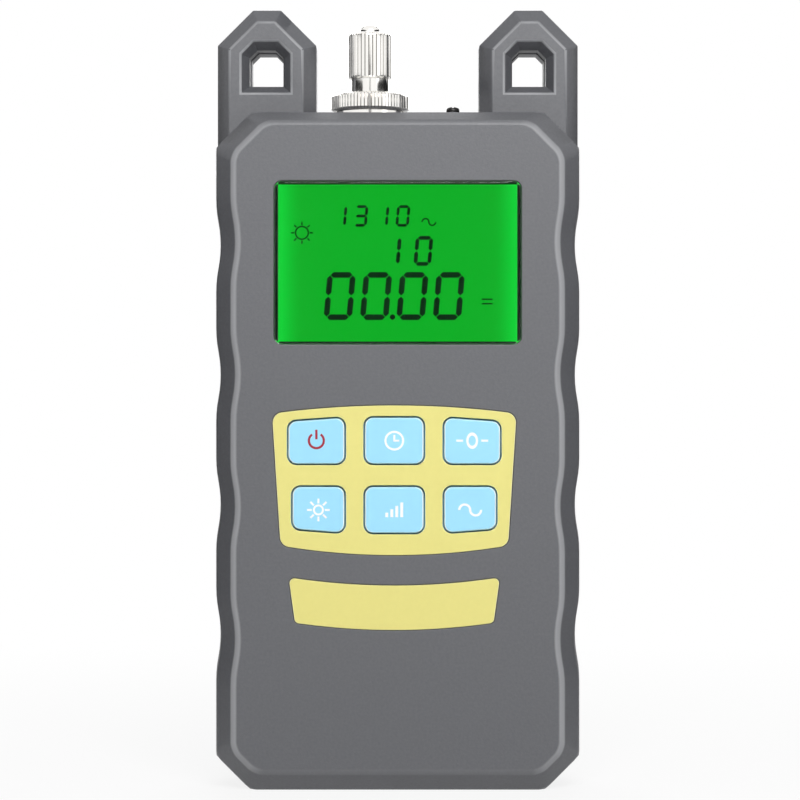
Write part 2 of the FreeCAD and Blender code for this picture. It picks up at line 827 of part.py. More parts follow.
# ---- keys ----
def make_key(name):
    """Key cap with a lip behind the wall and a boss over its switch."""
    x, z, *_ = key_place(name)
    cap = key_form(name, 0.0, key_face_y, front_inside_y)
    lip = key_block(name, key_wall_clearance + key_lip, front_inside_y,
                    front_inside_y + key_lip_thickness)
    boss = square_post(x, z, key_boss_size, front_inside_y, switch_face_y - switch_button_proud)
    return cap.fuse([lip, boss]).removeSplitter()


def make_switch(name):
    """Tactile switch housing with the pocket that its button slides in."""
    x, z, *_ = key_place(name)
    housing = square_post(x, z, switch_size, switch_face_y, board_face_y)
    depth = switch_button_bury + key_travel + switch_pocket_clearance
    pocket = square_post(x, z, switch_button_size + 2 * switch_pocket_clearance,
                         switch_face_y - over, switch_face_y + depth)
    return housing.cut(pocket)


def make_switch_button(name):
    """Button of one switch, moved by the key above it."""
    x, z, *_ = key_place(name)
    return square_post(x, z, switch_button_size, switch_face_y - switch_button_proud,
                       switch_face_y + switch_button_bury)


# ---- board and screws ----
def make_circuit_board():
    """Main board."""
    return box(-board_width / 2, board_width / 2, board_face_y, board_back_y,
               board_bottom_z, board_top_z)


def make_microcontroller():
    """Processor package on the back of the board."""
    half = chip_size / 2
    return box(-half, half, board_back_y, board_back_y + chip_height, chip_z - half, chip_z + half)


def make_screw(head_form, radius, length, head_radius, head_height, seat, direction):
    """Pan head screw whose head rests on a seat point, driven along a direction."""
    shank = faceted_rod(radius, seat, length, direction)
    head = head_form(head_radius, seat, head_height, -direction)
    return shank.fuse(head)


def screw_tip_y():
    """How far forward the case screws reach."""
    return case_screw_seat_y - case_screw_length


def make_case_screws():
    """Four screws from the back that close the case."""
    return [make_screw(faceted_rod, case_screw_radius, case_screw_length, case_screw_head_radius,
                       case_screw_head_height, Vector(x, case_screw_seat_y, z), Vector(0, -1, 0))
            for x, z in case_screw_places()]


# ---- battery bay ----
def make_cell(column, nub_up):
    """AA cell with its contact nub at one end."""
    body = rod(cell_radius, Vector(0, 0, 0), cell_length, Vector(0, 0, 1))
    body = body.fuse(faceted_rod(cell_nub_radius, Vector(0, 0, cell_length), cell_nub_height,
                                 Vector(0, 0, 1)))
    if not nub_up:
        body.rotate(Vector(0, 0, (cell_length + cell_nub_height) / 2), Vector(1, 0, 0), 180)
    body.translate(Vector(column * cell_pitch, cell_axis_y, bay_bottom_z + contact_reach))
    return body


def make_contact_plate(column, at_top):
    """Flat contact for a cell's nub, standing against the end of the bay."""
    middle = contact_width / 2
    outline = [(0.0, 0.0), (0.0, contact_width), (contact_thickness, contact_width),
               (contact_thickness, middle + contact_foot), (contact_reach, middle + contact_tip),
               (contact_reach, middle - contact_tip), (contact_thickness, middle - contact_foot),
               (contact_thickness, 0.0)]
    return contact_solid(outline, column * cell_pitch, contact_width, at_top)


def make_leaf_spring(column, at_top):
    """Bowed leaf that presses on a cell's flat end."""
    middle = contact_width / 2
    bend = contact_reach - contact_thickness
    inner_tip = contact_tip - contact_thickness
    outline = [(0.0, 0.0), (0.0, contact_thickness), (bend, middle - inner_tip),
               (bend, middle + inner_tip), (0.0, contact_width - contact_thickness),
               (0.0, contact_width), (contact_thickness, contact_width),
               (contact_reach, middle + contact_tip), (contact_reach, middle - contact_tip),
               (contact_thickness, 0.0)]
    return contact_solid(outline, column * cell_pitch, leaf_width, at_top)


def contact_solid(outline, middle_x, width, at_top):
    """Strip of bent metal: (distance from the end wall, distance across) points, extruded in X."""
    base_y = cell_axis_y - contact_width / 2
    x0 = middle_x - width / 2
    if at_top:
        points = [Vector(x0, base_y + v, bay_top_z - u) for u, v in outline]
    else:
        points = [Vector(x0, base_y + v, bay_bottom_z + u) for u, v in outline]
    return Part.Face(polygon_wire(points)).extrude(Vector(width, 0, 0))


# ---- fibre port ----
def on_port(profile):
    """Turned piece on the port's axis, with heights from the top panel."""
    return turned(profile, port_x, port_y, case_height)


def knurled(radius, depth, teeth, bottom, top):
    """Cylinder on the port's axis with straight pointed teeth."""
    root = radius - depth
    points = []
    for index in range(teeth):
        for share, r in ((0.0, root), (0.5, radius)):
            angle = 2 * math.pi * (index + share) / teeth
            points.append(Vector(r * math.cos(angle), r * math.sin(angle), bottom))
    body = Part.Face(polygon_wire(points)).extrude(Vector(0, 0, top - bottom))
    body.translate(Vector(port_x, port_y, case_height))
    return body


def make_detector_port():
    """Flanged port body held in the top panel."""
    return on_port([(diode_bore_radius, -port_depth), (port_barrel_radius, -port_depth),
                    (port_barrel_radius, 0), (port_flange_radius, 0),
                    (port_flange_radius, port_flange_height), (port_neck_radius, port_flange_height),
                    (port_neck_radius, port_neck_height), (diode_bore_radius, port_neck_height)])


def make_port_nut():
    """Hexagon nut under the top panel."""
    corner = nut_across_flats / math.sqrt(3)
    points = [Vector(corner * math.cos(math.radians(60 * i)), corner * math.sin(math.radians(60 * i)), 0)
              for i in range(6)]
    nut = Part.Face(polygon_wire(points)).extrude(Vector(0, 0, nut_thickness))
    bore = rod(port_barrel_radius + thread_gap, Vector(0, 0, -over), nut_thickness + 2 * over,
               Vector(0, 0, 1))
    nut = nut.cut(bore)
    nut.translate(Vector(port_x, port_y, case_height - wall - nut_thickness))
    return nut


def diode_base_z():
    """Underside of the photodiode, level with the port's lower end."""
    return case_height - port_depth


def make_photodiode():
    """Photodiode can with two leads down to the small board."""
    base = diode_base_z()
    half = diode_lead_size / 2
    can = rod(diode_can_radius, Vector(port_x, port_y, base), diode_can_height, Vector(0, 0, 1))
    leads = [box(port_x + side * diode_lead_offset - half, port_x + side * diode_lead_offset + half,
                 port_y - half, port_y + half, base - diode_lead_length, base) for side in (-1, 1)]
    return can.fuse(leads)


def make_detector_board():
    """Small board under the photodiode, standing off the main board."""
    half = detector_board_width / 2
    top = diode_base_z() - diode_lead_length
    return box(port_x - half, port_x + half, board_back_y, port_y + detector_board_reach,
               top - detector_board_thickness, top)


def make_fc_adapter():
    """Screw-type fibre receptacle that the coupling ring holds on the port."""
    hole = sleeve_radius + sleeve_fit
    body = on_port([(hole, port_neck_height), (port_neck_radius, port_neck_height),
                    (port_neck_radius, adapter_flange_top), (adapter_collar_radius, adapter_flange_top),
                    (adapter_collar_radius, adapter_collar_top),
                    (adapter_barrel_radius, adapter_collar_top),
                    (adapter_barrel_radius, adapter_barrel_top),
                    (adapter_cavity_radius, adapter_barrel_top),
                    (adapter_cavity_radius, adapter_cavity_floor), (hole, adapter_cavity_floor)])
    key = box(port_x - adapter_key_width / 2, port_x + adapter_key_width / 2,
              port_y - adapter_barrel_radius - over, port_y,
              case_height + adapter_barrel_top - adapter_key_depth,
              case_height + adapter_barrel_top + over)
    return body.cut(key)


def make_ferrule_sleeve():
    """Ceramic sleeve that guides the fibre's ferrule."""
    return on_port([(sleeve_bore_radius, port_neck_height), (sleeve_radius, port_neck_height),
                    (sleeve_radius, sleeve_top), (sleeve_bore_radius, sleeve_top)])


def make_coupling_ring():
    """Knurled ring that screws onto the port and clamps the receptacle."""
    ring = knurled(ring_radius, ring_tooth_depth, ring_teeth, ring_bottom, ring_top)
    thread = port_neck_radius + thread_gap
    hollow = on_port([(0, ring_bottom - over), (thread, ring_bottom - over),
                      (thread, ring_top - ring_lip), (ring_lip_radius, ring_top - ring_lip),
                      (ring_lip_radius, ring_top + over), (0, ring_top + over)])
    return ring.cut(hollow)


def make_dust_cap():
    """Knurled metal cap screwed over the receptacle."""
    cap = knurled(cap_radius, cap_tooth_depth, cap_teeth, cap_bottom, cap_top)
    hole = rivet_shank_radius + rivet_fit
    hollow = on_port([(0, cap_bottom - over), (thread_radius_in_cap, cap_bottom - over),
                      (thread_radius_in_cap, cap_top - cap_roof), (hole, cap_top - cap_roof),
                      (hole, cap_top + over), (0, cap_top + over)])
    return cap.cut(hollow)


def make_cap_rivet():
    """Swivel rivet through the cap's roof, which a tether loop would turn on."""
    up = Vector(0, 0, 1)
    under = Vector(port_x, port_y, case_height + cap_top - cap_roof)
    clench = faceted_rod(rivet_clench_radius, under - up * rivet_clench_height,
                         rivet_clench_height, up)
    shank = faceted_rod(rivet_shank_radius, under, cap_roof, up)
    head = rod(rivet_head_radius, under + up * cap_roof, rivet_head_height, up)
    return clench.fuse([shank, head])


def make_tether_washer():
    """Washer under the tether screw."""
    return turned([(tether_shank_radius + thread_gap, 0), (tether_washer_radius, 0),
                   (tether_washer_radius, tether_washer_height),
                   (tether_shank_radius + thread_gap, tether_washer_height)],
                  tether_x, tether_y, case_height)


def make_tether_screw():
    """Small pan head screw on the top panel."""
    seat = case_height + tether_washer_height
    return make_screw(rod, tether_shank_radius, tether_length, tether_head_radius, tether_head_height,
                      Vector(tether_x, tether_y, seat), Vector(0, 0, -1))


# ---- build ----
def build():
    """Make every node and write its STEP file."""
    os.makedirs("parts", exist_ok=True)
    save(make_front_shell(), "front_shell")
    save(make_rear_shell(), "rear_shell")
    save(make_battery_door(), "battery_door")
    save(make_display_window(), "display_window")
    save(make_lcd_frame(), "lcd_frame")
    save(lcd_layer(lcd_front_y, lcd_front_y + lcd_thickness), "lcd_glass")
    backlight_y = lcd_front_y + lcd_thickness
    save(lcd_layer(backlight_y, backlight_y + backlight_thickness), "backlight")

    keypad = keypad_form(0.0, case_front_y - plate_proud, case_front_y - plate_proud + plate_thickness)
    slots = [key_form(name, key_gap, case_front_y - over, front_inside_y) for name in KEYS]
    save(keypad.cut(slots), "keypad_plate")
    save(label_form(0.0, case_front_y - label_proud, case_front_y - label_proud + label_thickness),
         "label_plate")
    for name in KEYS:
        save(make_key(name), "key_" + name)
        save(make_switch_button(name), "switch_button_" + name)
    save(Part.makeCompound([make_switch(name) for name in KEYS]), "key_switches")

    save(make_circuit_board(), "circuit_board")
    save(make_microcontroller(), "microcontroller")
    save(Part.makeCompound(make_case_screws()), "case_screws")

    for column, name in ((-1, "left"), (0, "middle"), (1, "right")):
        save(make_cell(column, column != 0), "battery_cell_" + name)
    save(Part.makeCompound([make_contact_plate(c, c != 0) for c in (-1, 0, 1)]), "contact_plates")
    save(Part.makeCompound([make_leaf_spring(c, c == 0) for c in (-1, 0, 1)]), "leaf_springs")

    save(make_detector_port(), "detector_port")
    save(make_port_nut(), "port_nut")
    save(make_photodiode(), "photodiode")
    save(make_detector_board(), "detector_board")
    save(make_fc_adapter(), "fc_adapter")
    save(make_ferrule_sleeve(), "ferrule_sleeve")
    save(make_coupling_ring(), "coupling_ring")
    save(make_dust_cap(), "dust_cap")
    save(make_cap_rivet(), "cap_rivet")
    save(make_tether_washer(), "tether_washer")
    save(make_tether_screw(), "tether_screw")


build()
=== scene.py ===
"""Looks of the handheld optical power meter: softened mouldings, printed marks, turned port and stage.

Laid out as an add-on and run as a script: main() calls one operator for each group of pieces.
All lengths are in metres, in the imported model's frame: +Z up the case, -Y out of the display.
"""
import math

import bmesh
import bpy
from bpy.props import FloatProperty, FloatVectorProperty, IntProperty, PointerProperty
from bpy.types import Operator, Panel, PropertyGroup
from mathutils import Matrix, Vector


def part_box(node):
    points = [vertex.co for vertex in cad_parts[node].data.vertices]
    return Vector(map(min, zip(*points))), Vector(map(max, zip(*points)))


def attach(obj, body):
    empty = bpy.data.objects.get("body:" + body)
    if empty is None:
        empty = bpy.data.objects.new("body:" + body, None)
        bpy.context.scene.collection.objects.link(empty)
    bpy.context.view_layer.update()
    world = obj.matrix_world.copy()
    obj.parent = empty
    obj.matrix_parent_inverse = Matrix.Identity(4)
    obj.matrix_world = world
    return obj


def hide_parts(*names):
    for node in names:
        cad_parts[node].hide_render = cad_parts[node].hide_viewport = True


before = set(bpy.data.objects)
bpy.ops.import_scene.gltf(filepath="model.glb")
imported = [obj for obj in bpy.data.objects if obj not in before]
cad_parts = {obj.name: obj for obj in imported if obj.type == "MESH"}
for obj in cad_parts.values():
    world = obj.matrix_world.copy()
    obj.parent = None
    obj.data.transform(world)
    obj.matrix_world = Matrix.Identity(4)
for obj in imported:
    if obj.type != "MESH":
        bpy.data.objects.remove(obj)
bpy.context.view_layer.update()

bl_info = {
    "name": "Optical power meter dress",
    "version": (1, 0, 0),
    "blender": (4, 5, 0),
    "location": "3D View > Sidebar > Meter",
    "description": "Models and finishes the visible pieces of a handheld optical power meter",
    "category": "Object",
}

PANEL_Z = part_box("front_shell")[1].z    # top panel between the ears
MM = 0.001
BEVEL_DEPTH = 4.5 * MM      # bevel round the case, front to back
CORNER_CUT = 7.7 * MM       # cut top corners of the case; the lower ones are 0.2 mm smaller
PAINTED_HIGHLIGHT = "rim"                 # vertex attribute: 1 in the middle of a rounded edge, where a highlight is painted
GROOVE_SHADE = "groove"           # vertex attribute: 1 at the root of a knurl groove, where shade is painted
KNURL_STEPS = 8             # faces round each knurl tooth
FIGURE_LEAN = math.radians(5)


def srgb(code):
    """Linear colour with alpha from an sRGB hex value."""
    parts = [int(code[i:i + 2], 16) / 255 for i in (1, 3, 5)]
    return tuple(c / 12.92 if c <= 0.04045 else ((c + 0.055) / 1.055) ** 2.4 for c in parts) + (1.0,)


def colour_property(name, code, description):
    """Colour that a user can change in the panel."""
    return FloatVectorProperty(name=name, description=description, subtype="COLOR", size=4,
                               min=0.0, max=1.0, default=srgb(code))


def length_property(name, millimetres, description):
    """Length that a user can change in the panel, given in millimetres."""
    return FloatProperty(name=name, description=description, default=millimetres * MM,
                         min=0.0, unit="LENGTH", precision=5)


# ---- sizes and colours a user may change -------------------------------------------------------
class MeterSizes(PropertyGroup):
    """Sizes of the softened edges, printed marks and knurls."""
    case_edge: length_property("Case edge", 1.0, "Radius along the case's bevels and ears")
    case_ridge: length_property("Case ridges", 1.9, "Radius of the ridges where two bevels meet")
    shoulder_edge: length_property("Shoulder", 0.5, "Radius where the bevel meets the case's side")
    ear_edge: length_property("Ear edge", 0.45, "Radius along the strap ears")
    mouth_edge: length_property("Opening edge", 0.2, "Radius round openings and grooves in the case")
    plate_edge: length_property("Plate edge", 0.14, "Rounded rim of the yellow plates and their slots")
    key_edge: length_property("Key edge", 0.32, "Rounded front rim of each key")
    lens_edge: length_property("Window edge", 0.35, "Polished bevel round the display window")
    ink: length_property("Ink height", 0.03, "How far printed marks stand off their key")
    figure: length_property("Figure depth", 0.05, "How far display figures stand off the glass")
    ring_teeth: IntProperty(name="Ring teeth", description="Teeth of the coupling ring's knurl",
                            default=70, min=12)
    cap_teeth: IntProperty(name="Cap teeth", description="Teeth of the dust cap's knurl",
                           default=35, min=12)


class MeterColours(PropertyGroup):
    """Colours of the visible finishes."""
    case: colour_property("Case", "#5B5C60", "Moulded case")
    # Colour of the painted highlight along the case's rounded edges, strongest on upright ones.
    case_painted_highlight: colour_property("Case rims", "#929396", "Rubbed edges of the case")
    plate: colour_property("Plates", "#E8DF85", "Keypad and label plates")
    key: colour_property("Keys", "#A2E2FF", "Key caps")
    ink: colour_property("Key marks", "#FFFFFF", "Printed symbols")
    power_ink: colour_property("Power mark", "#A3122F", "Printed power symbol")
    display: colour_property("Display", "#0EB327", "Lit display, middle")
    display_edge: colour_property("Display edge", "#0CDB3B", "Lit display near its lamps")
    figures: colour_property("Figures", "#022A10", "Display figures")
    metal: colour_property("Port metal", "#F8F6F2", "Nickel plated port pieces")


# ---- mesh helpers ------------------------------------------------------------------------------
def near(value, target, slack=0.06 * MM):
    """Whether two lengths agree."""
    return abs(value - target) < slack


def finish_mesh(bm, name, smooth_angle=32.0):
    """Object from a bmesh, shaded smooth up to an angle, with flat areas kept flat."""
    mesh = bpy.data.meshes.new(name)
    bm.to_mesh(mesh)
    bm.free()
    piece = bpy.data.objects.new(name, mesh)
    bpy.context.scene.collection.objects.link(piece)
    mesh.shade_smooth()
    mesh.set_sharp_from_angle(angle=math.radians(smooth_angle))
    weighted = piece.modifiers.new("Weighted normals", "WEIGHTED_NORMAL")
    weighted.keep_sharp = True
    return piece


def place(piece, body, slot, material, *nodes):
    """Body, finish and replaced nodes of a finished piece."""
    piece.data.materials.clear()
    piece.data.materials.append(material)
    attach(piece, body)
    if nodes:
        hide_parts(*nodes)
    return piece


def dress(node, material):
    """New finish on a CAD node that keeps its shape."""
    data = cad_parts[node].data
    if not data.materials:
        data.materials.append(material)
    for index in range(len(data.materials)):
        data.materials[index] = material


def merged_copy(node):
    """bmesh of a CAD node with its loose triangles joined into flat faces."""
    bm = bmesh.new()
    bm.from_mesh(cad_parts[node].data)
    bm.verts.layers.float.new(PAINTED_HIGHLIGHT)
    bmesh.ops.remove_doubles(bm, verts=bm.verts, dist=0.002 * MM)
    bmesh.ops.dissolve_limit(bm, angle_limit=math.radians(0.4), verts=bm.verts, edges=bm.edges,
                             use_dissolve_boundaries=False)
    return bm


def soften(bm, width, chosen, sharper_than=22.0, segments=4, rim=1.0):
    """Rounds the outward edges that a test on their two ends picks.

    The rounded edges are marked as rims for a painted highlight, most where they run upright, as a side
    light would catch them.
    """
    limit = math.radians(sharper_than)
    edges = []
    for edge in bm.edges:
        if len(edge.link_faces) != 2 or edge.calc_face_angle_signed() < limit:
            continue
        if chosen(edge.verts[0].co, edge.verts[1].co):
            edges.append(edge)
    made = bmesh.ops.bevel(bm, geom=edges, offset=width, offset_type="OFFSET", affect="EDGES",
                           segments=segments, profile=0.5, material=-1, clamp_overlap=False)
    bm.normal_update()
    layer = bm.verts.layers.float[PAINTED_HIGHLIGHT]
    rounded = set(made["faces"])
    for vert in {v for face in rounded for v in face.verts}:
        if all(face in rounded for face in vert.link_faces):
            upright = abs(vert.normal.x) / max(math.hypot(vert.normal.x, vert.normal.z), 1e-6)
            vert[layer] = rim * (0.15 + 0.85 * upright)


def soft_rimmed(node, width, rim_y, segments=4):
    """Copy of a CAD node with its sharp rims at one depth rounded."""
    bm = merged_copy(node)
    soften(bm, width, lambda a, b: near(a.y, rim_y) and near(b.y, rim_y), sharper_than=50.0,
           segments=segments)
    return bm


def turned(profile, centre, steps, closed=False):
    """Solid of revolution about a vertical axis from (radius, height) points in millimetres.

    A closed profile runs back to its first point, as a ring's does.
    """
    bm = bmesh.new()
    verts = [bm.verts.new((radius * MM, 0.0, height * MM)) for radius, height in profile]
    edges = [bm.edges.new(pair) for pair in zip(verts, verts[1:])]
    if closed:
        edges.append(bm.edges.new((verts[-1], verts[0])))
    bmesh.ops.spin(bm, geom=verts + edges, cent=(0, 0, 0), axis=(0, 0, 1), angle=math.tau,
                   steps=steps, use_merge=True)
    bmesh.ops.remove_doubles(bm, verts=bm.verts, dist=0.001 * MM)
    bmesh.ops.recalc_face_normals(bm, faces=bm.faces)
    bmesh.ops.translate(bm, verts=bm.verts, vec=centre)
    return bm


def cut_knurl(bm, centre, teeth, radius, depth, bottom, top):
    """Presses narrow straight grooves into the band of a turned piece between two heights, and marks
    their roots for painted shade.
    """
    grooves = bm.verts.layers.float.new(GROOVE_SHADE)
    root = (radius - depth) * MM
    for vert in bm.verts:
        x, y = vert.co.x - centre.x, vert.co.y - centre.y
        height = vert.co.z - centre.z
        reach = math.hypot(x, y)
        if reach < root or not bottom * MM - 1e-6 < height < top * MM + 1e-6:
            continue
        turn = math.atan2(y, x) / math.tau * teeth % 1.0
        crest = min(1.0, min(turn, 1.0 - turn) * KNURL_STEPS)
        vert[grooves] = 1.0 - crest
        wanted = min(reach, root + depth * MM * crest)
        vert.co.x = centre.x + x * wanted / reach
        vert.co.y = centre.y + y * wanted / reach


def press_cross(bm, centre, arm, reach, above, depth):
    """Presses a cross recess into a turned screw head; its sizes are in millimetres."""
    for vert in bm.verts:
        x, y, z = (vert.co - centre) / MM
        if z > above and math.hypot(x, y) < reach and min(abs(x), abs(y)) < arm:
            vert.co.z -= depth * MM


# ---- flat marks: drawn in the XZ plane, then given a thickness ---------------------------------
def bar(bm, x, z, width, height, turn=0.0, about=(0.0, 0.0)):
    """Flat rectangle round (x, z), turned about a point."""
    made = bmesh.ops.create_grid(bm, x_segments=1, y_segments=1, size=0.5)["verts"]
    shape = Matrix.Translation((x, 0, z)) @ Matrix.Diagonal((width, 1, height, 1)) \
        @ Matrix.Rotation(math.pi / 2, 4, "X")
    pivot = Matrix.Translation((about[0], 0, about[1])) @ Matrix.Rotation(turn, 4, "Y") \
        @ Matrix.Translation((-about[0], 0, -about[1]))
    bmesh.ops.transform(bm, verts=made, matrix=pivot @ shape)


def arc_band(bm, x, z, radius, stroke, start=0.0, sweep=math.tau, steps=28, tall=1.0):
    """Flat ring or part of one, swept from a start angle; tall stretches it upwards."""
    across = [bm.verts.new((x + (radius + side * stroke / 2) * math.cos(start), 0.0,
                            z + (radius + side * stroke / 2) * math.sin(start))) for side in (-1, 1)]
    edge = bm.edges.new(across)
    before = set(bm.verts)
    bmesh.ops.spin(bm, geom=across + [edge], cent=(x, 0, z), axis=(0, -1, 0), angle=sweep,
                   steps=steps, use_merge=abs(sweep) >= math.tau - 1e-6)
    ring = [v for v in bm.verts if v not in before] + [v for v in across if v.is_valid]
    bmesh.ops.transform(bm, verts=ring, matrix=Matrix.Translation((0, 0, z))
                        @ Matrix.Diagonal((1, 1, tall, 1)) @ Matrix.Translation((0, 0, -z)))


def raise_marks(bm, name, back_y, depth):
    """Gives flat marks a thickness, standing towards -Y from a surface at back_y."""
    bmesh.ops.remove_doubles(bm, verts=bm.verts, dist=0.001 * MM)
    grown = bmesh.ops.extrude_face_region(bm, geom=list(bm.faces))
    front = [item for item in grown["geom"] if isinstance(item, bmesh.types.BMVert)]
    bmesh.ops.translate(bm, verts=front, vec=(0, -depth, 0))
    bmesh.ops.translate(bm, verts=bm.verts, vec=(0, back_y, 0))
    bmesh.ops.recalc_face_normals(bm, faces=bm.faces)
    return finish_mesh(bm, name)


# ---- material helpers --------------------------------------------------------------------------
def add(tree, kind, sockets=None, links=None, **settings):
    """Adds a node with its settings, socket values and incoming links."""
    node = tree.nodes.new(kind)
    for key, value in settings.items():
        setattr(node, key, value)
    for key, value in (sockets or {}).items():
        node.inputs[key].default_value = value
    for key, source in (links or {}).items():
        tree.links.new(source, node.inputs[key])
    return node


def new_material(name, colour, roughness, metallic=0.0, ior=None, **sockets):
    """Material with one Principled shader; returns (material, node tree, shader)."""
    material = bpy.data.materials.new(name)
    material.use_nodes = True
    tree = material.node_tree
    shader = tree.nodes["Principled BSDF"]
    shader.inputs["Base Color"].default_value = colour
    shader.inputs["Roughness"].default_value = roughness
    shader.inputs["Metallic"].default_value = metallic
    if ior:
        shader.inputs["IOR"].default_value = ior
    for key, value in sockets.items():
        shader.inputs[key.replace("_", " ")].default_value = value
    return material, tree, shader


def bump(tree, shader, height, millimetres, strength=1.0):
    """Bump of a real height, given in millimetres, on a shader."""
    node = add(tree, "ShaderNodeBump", {"Strength": strength, "Distance": millimetres * MM},
               {"Height": height})
    tree.links.new(node.outputs["Normal"], shader.inputs["Normal"])


def mottled(tree, shader, colour, grain_mm, spread, position):
    """Colour that varies a little about one value, at a real grain size."""
    noise = add(tree, "ShaderNodeTexNoise", {"Scale": 1 / (grain_mm * MM), "Detail": 3.0},
                {"Vector": position})
    dark = tuple(c * (1 - spread) for c in colour[:3]) + (1.0,)
    light = tuple(min(1.0, c * (1 + spread)) for c in colour[:3]) + (1.0,)
    mix = add(tree, "ShaderNodeMix", {"A": dark, "B": light}, {"Factor": noise.outputs["Fac"]},
              data_type="RGBA")
    tree.links.new(mix.outputs["Result"], shader.inputs["Base Color"])


def painted_highlight_colour(tree, shader, colour):
    """Another colour on the rounded edges: a painted highlight."""
    body = shader.inputs["Base Color"].links[0].from_socket
    highlight_mask = add(tree, "ShaderNodeAttribute", attribute_name=PAINTED_HIGHLIGHT)
    mix = add(tree, "ShaderNodeMix", {"B": colour}, {"Factor": highlight_mask.outputs["Fac"], "A": body},
              data_type="RGBA")
    tree.links.new(mix.outputs["Result"], shader.inputs["Base Color"])


def object_position(tree):
    """Position on the piece, in metres."""
    return add(tree, "ShaderNodeTexCoord").outputs["Object"]


def colours():
    """Colours set in the panel."""
    return bpy.context.scene.meter_colours


def sizes():
    """Sizes set in the panel."""
    return bpy.context.scene.meter_sizes


_made = {}


def finish(maker):
    """The material of one maker function, made once."""
    if maker.__name__ not in _made:
        _made[maker.__name__] = maker()
    return _made[maker.__name__]


# ---- materials ---------------------------------------------------------------------------------
def moulded_abs():
    # Injection moulded ABS with a spark-eroded texture: even grey, fine pits that catch the light.
    grain_mm = 0.42            # drawn coarse enough to show
    colour = tuple(colours().case)
    material, tree, shader = new_material("moulded_abs_grey", colour, 0.5, ior=1.54,
                                          Specular_IOR_Level=0.6)
    position = object_position(tree)
    mottled(tree, shader, colour, grain_mm * 1.5, 0.16, position)
    # Painted highlight on the case's rounded edges.
    painted_highlight_colour(tree, shader, tuple(colours().case_painted_highlight))
    pits = add(tree, "ShaderNodeTexNoise", {"Scale": 1 / (grain_mm * MM), "Detail": 2.0},
               {"Vector": position})
    bump(tree, shader, pits.outputs["Fac"], 0.035, 0.7)
    gloss = add(tree, "ShaderNodeMapRange", {"To Min": 0.42, "To Max": 0.6},
                {"Value": pits.outputs["Fac"]})
    tree.links.new(gloss.outputs["Result"], shader.inputs["Roughness"])
    return material


def clear_acrylic():
    # Polished cast acrylic: clear, faintly green on its edges, with a hard gloss.
    wipe_mm = 9.0
    material, tree, shader = new_material("polished_acrylic", srgb("#F2FFF6"), 0.02, ior=1.49,
                                          Transmission_Weight=1.0)
    wipe = add(tree, "ShaderNodeTexNoise", {"Scale": 1 / (wipe_mm * MM), "Detail": 2.0},
               {"Vector": object_position(tree)})
    film = add(tree, "ShaderNodeMapRange", {"To Min": 0.012, "To Max": 0.035},
               {"Value": wipe.outputs["Fac"]})
    tree.links.new(film.outputs["Result"], shader.inputs["Roughness"])
    return material


def lit_display():
    # Liquid crystal glass over a green light panel: brighter beside the lamps at both ends.
    glow_from, glow_to = 21 * MM, 27.5 * MM         # distances from the middle of the display
    material, tree, shader = new_material("lit_liquid_crystal", srgb("#020A04"), 0.12, ior=1.52,
                                          Specular_IOR_Level=0.15, Emission_Strength=1.0)
    split = add(tree, "ShaderNodeSeparateXYZ", links={"Vector": object_position(tree)})
    low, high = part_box("lcd_glass")
    aside = add(tree, "ShaderNodeMath", {1: (low.x + high.x) / 2}, {0: split.outputs["X"]},
                operation="SUBTRACT")
    away = add(tree, "ShaderNodeMath", links={0: aside.outputs["Value"]}, operation="ABSOLUTE")
    reach = add(tree, "ShaderNodeMapRange", {"From Min": glow_from, "From Max": glow_to},
                {"Value": away.outputs["Value"]}, interpolation_type="SMOOTHSTEP")
    glow = add(tree, "ShaderNodeMix",
               {"A": tuple(colours().display), "B": tuple(colours().display_edge)},
               {"Factor": reach.outputs["Result"]}, data_type="RGBA")
    tree.links.new(glow.outputs["Result"], shader.inputs["Emission Color"])
    return material


def display_figures():
    # Dark liquid crystal segments: almost black with the light panel's green in them.
    colour = tuple(colours().figures)
    material, tree, shader = new_material("dark_segments", colour, 0.2, ior=1.52,
                                          Specular_IOR_Level=0.15)
    mottled(tree, shader, colour, 0.6, 0.1, object_position(tree))
    return material


def green_light_panel():
    # Milled acrylic light guide with a green diffuser, behind the glass.
    colour = srgb("#1FBF3A")
    material, tree, shader = new_material("green_light_guide", colour, 0.35, ior=1.49)
    mottled(tree, shader, colour, 1.0, 0.08, object_position(tree))
    return material


def black_moulding():
    # Black moulded polycarbonate, matt, as a display frame or switch housing is.
    colour = srgb("#0E100F")
    material, tree, shader = new_material("moulded_polycarbonate_black", colour, 0.45, ior=1.58)
    position = object_position(tree)
    mottled(tree, shader, colour, 0.8, 0.15, position)
    grain = add(tree, "ShaderNodeTexNoise", {"Scale": 1 / (0.3 * MM)}, {"Vector": position})
    bump(tree, shader, grain.outputs["Fac"], 0.006, 0.4)
    return material


def printed_polyester():
    # Screen printed polyester overlay: flat yellow ink under a fine velvet texture.
    grain_mm = 0.3
    colour = tuple(colours().plate)
    material, tree, shader = new_material("printed_polyester_yellow", colour, 0.38, ior=1.57)
    position = object_position(tree)
    mottled(tree, shader, colour, grain_mm * 3, 0.02, position)
    # Painted highlight along the plates' rounded rims.
    painted_highlight_colour(tree, shader, srgb("#FBF8D8"))
    velvet = add(tree, "ShaderNodeTexNoise", {"Scale": 1 / (grain_mm * MM), "Detail": 1.0},
                 {"Vector": position})
    bump(tree, shader, velvet.outputs["Fac"], 0.005, 0.35)
    return material


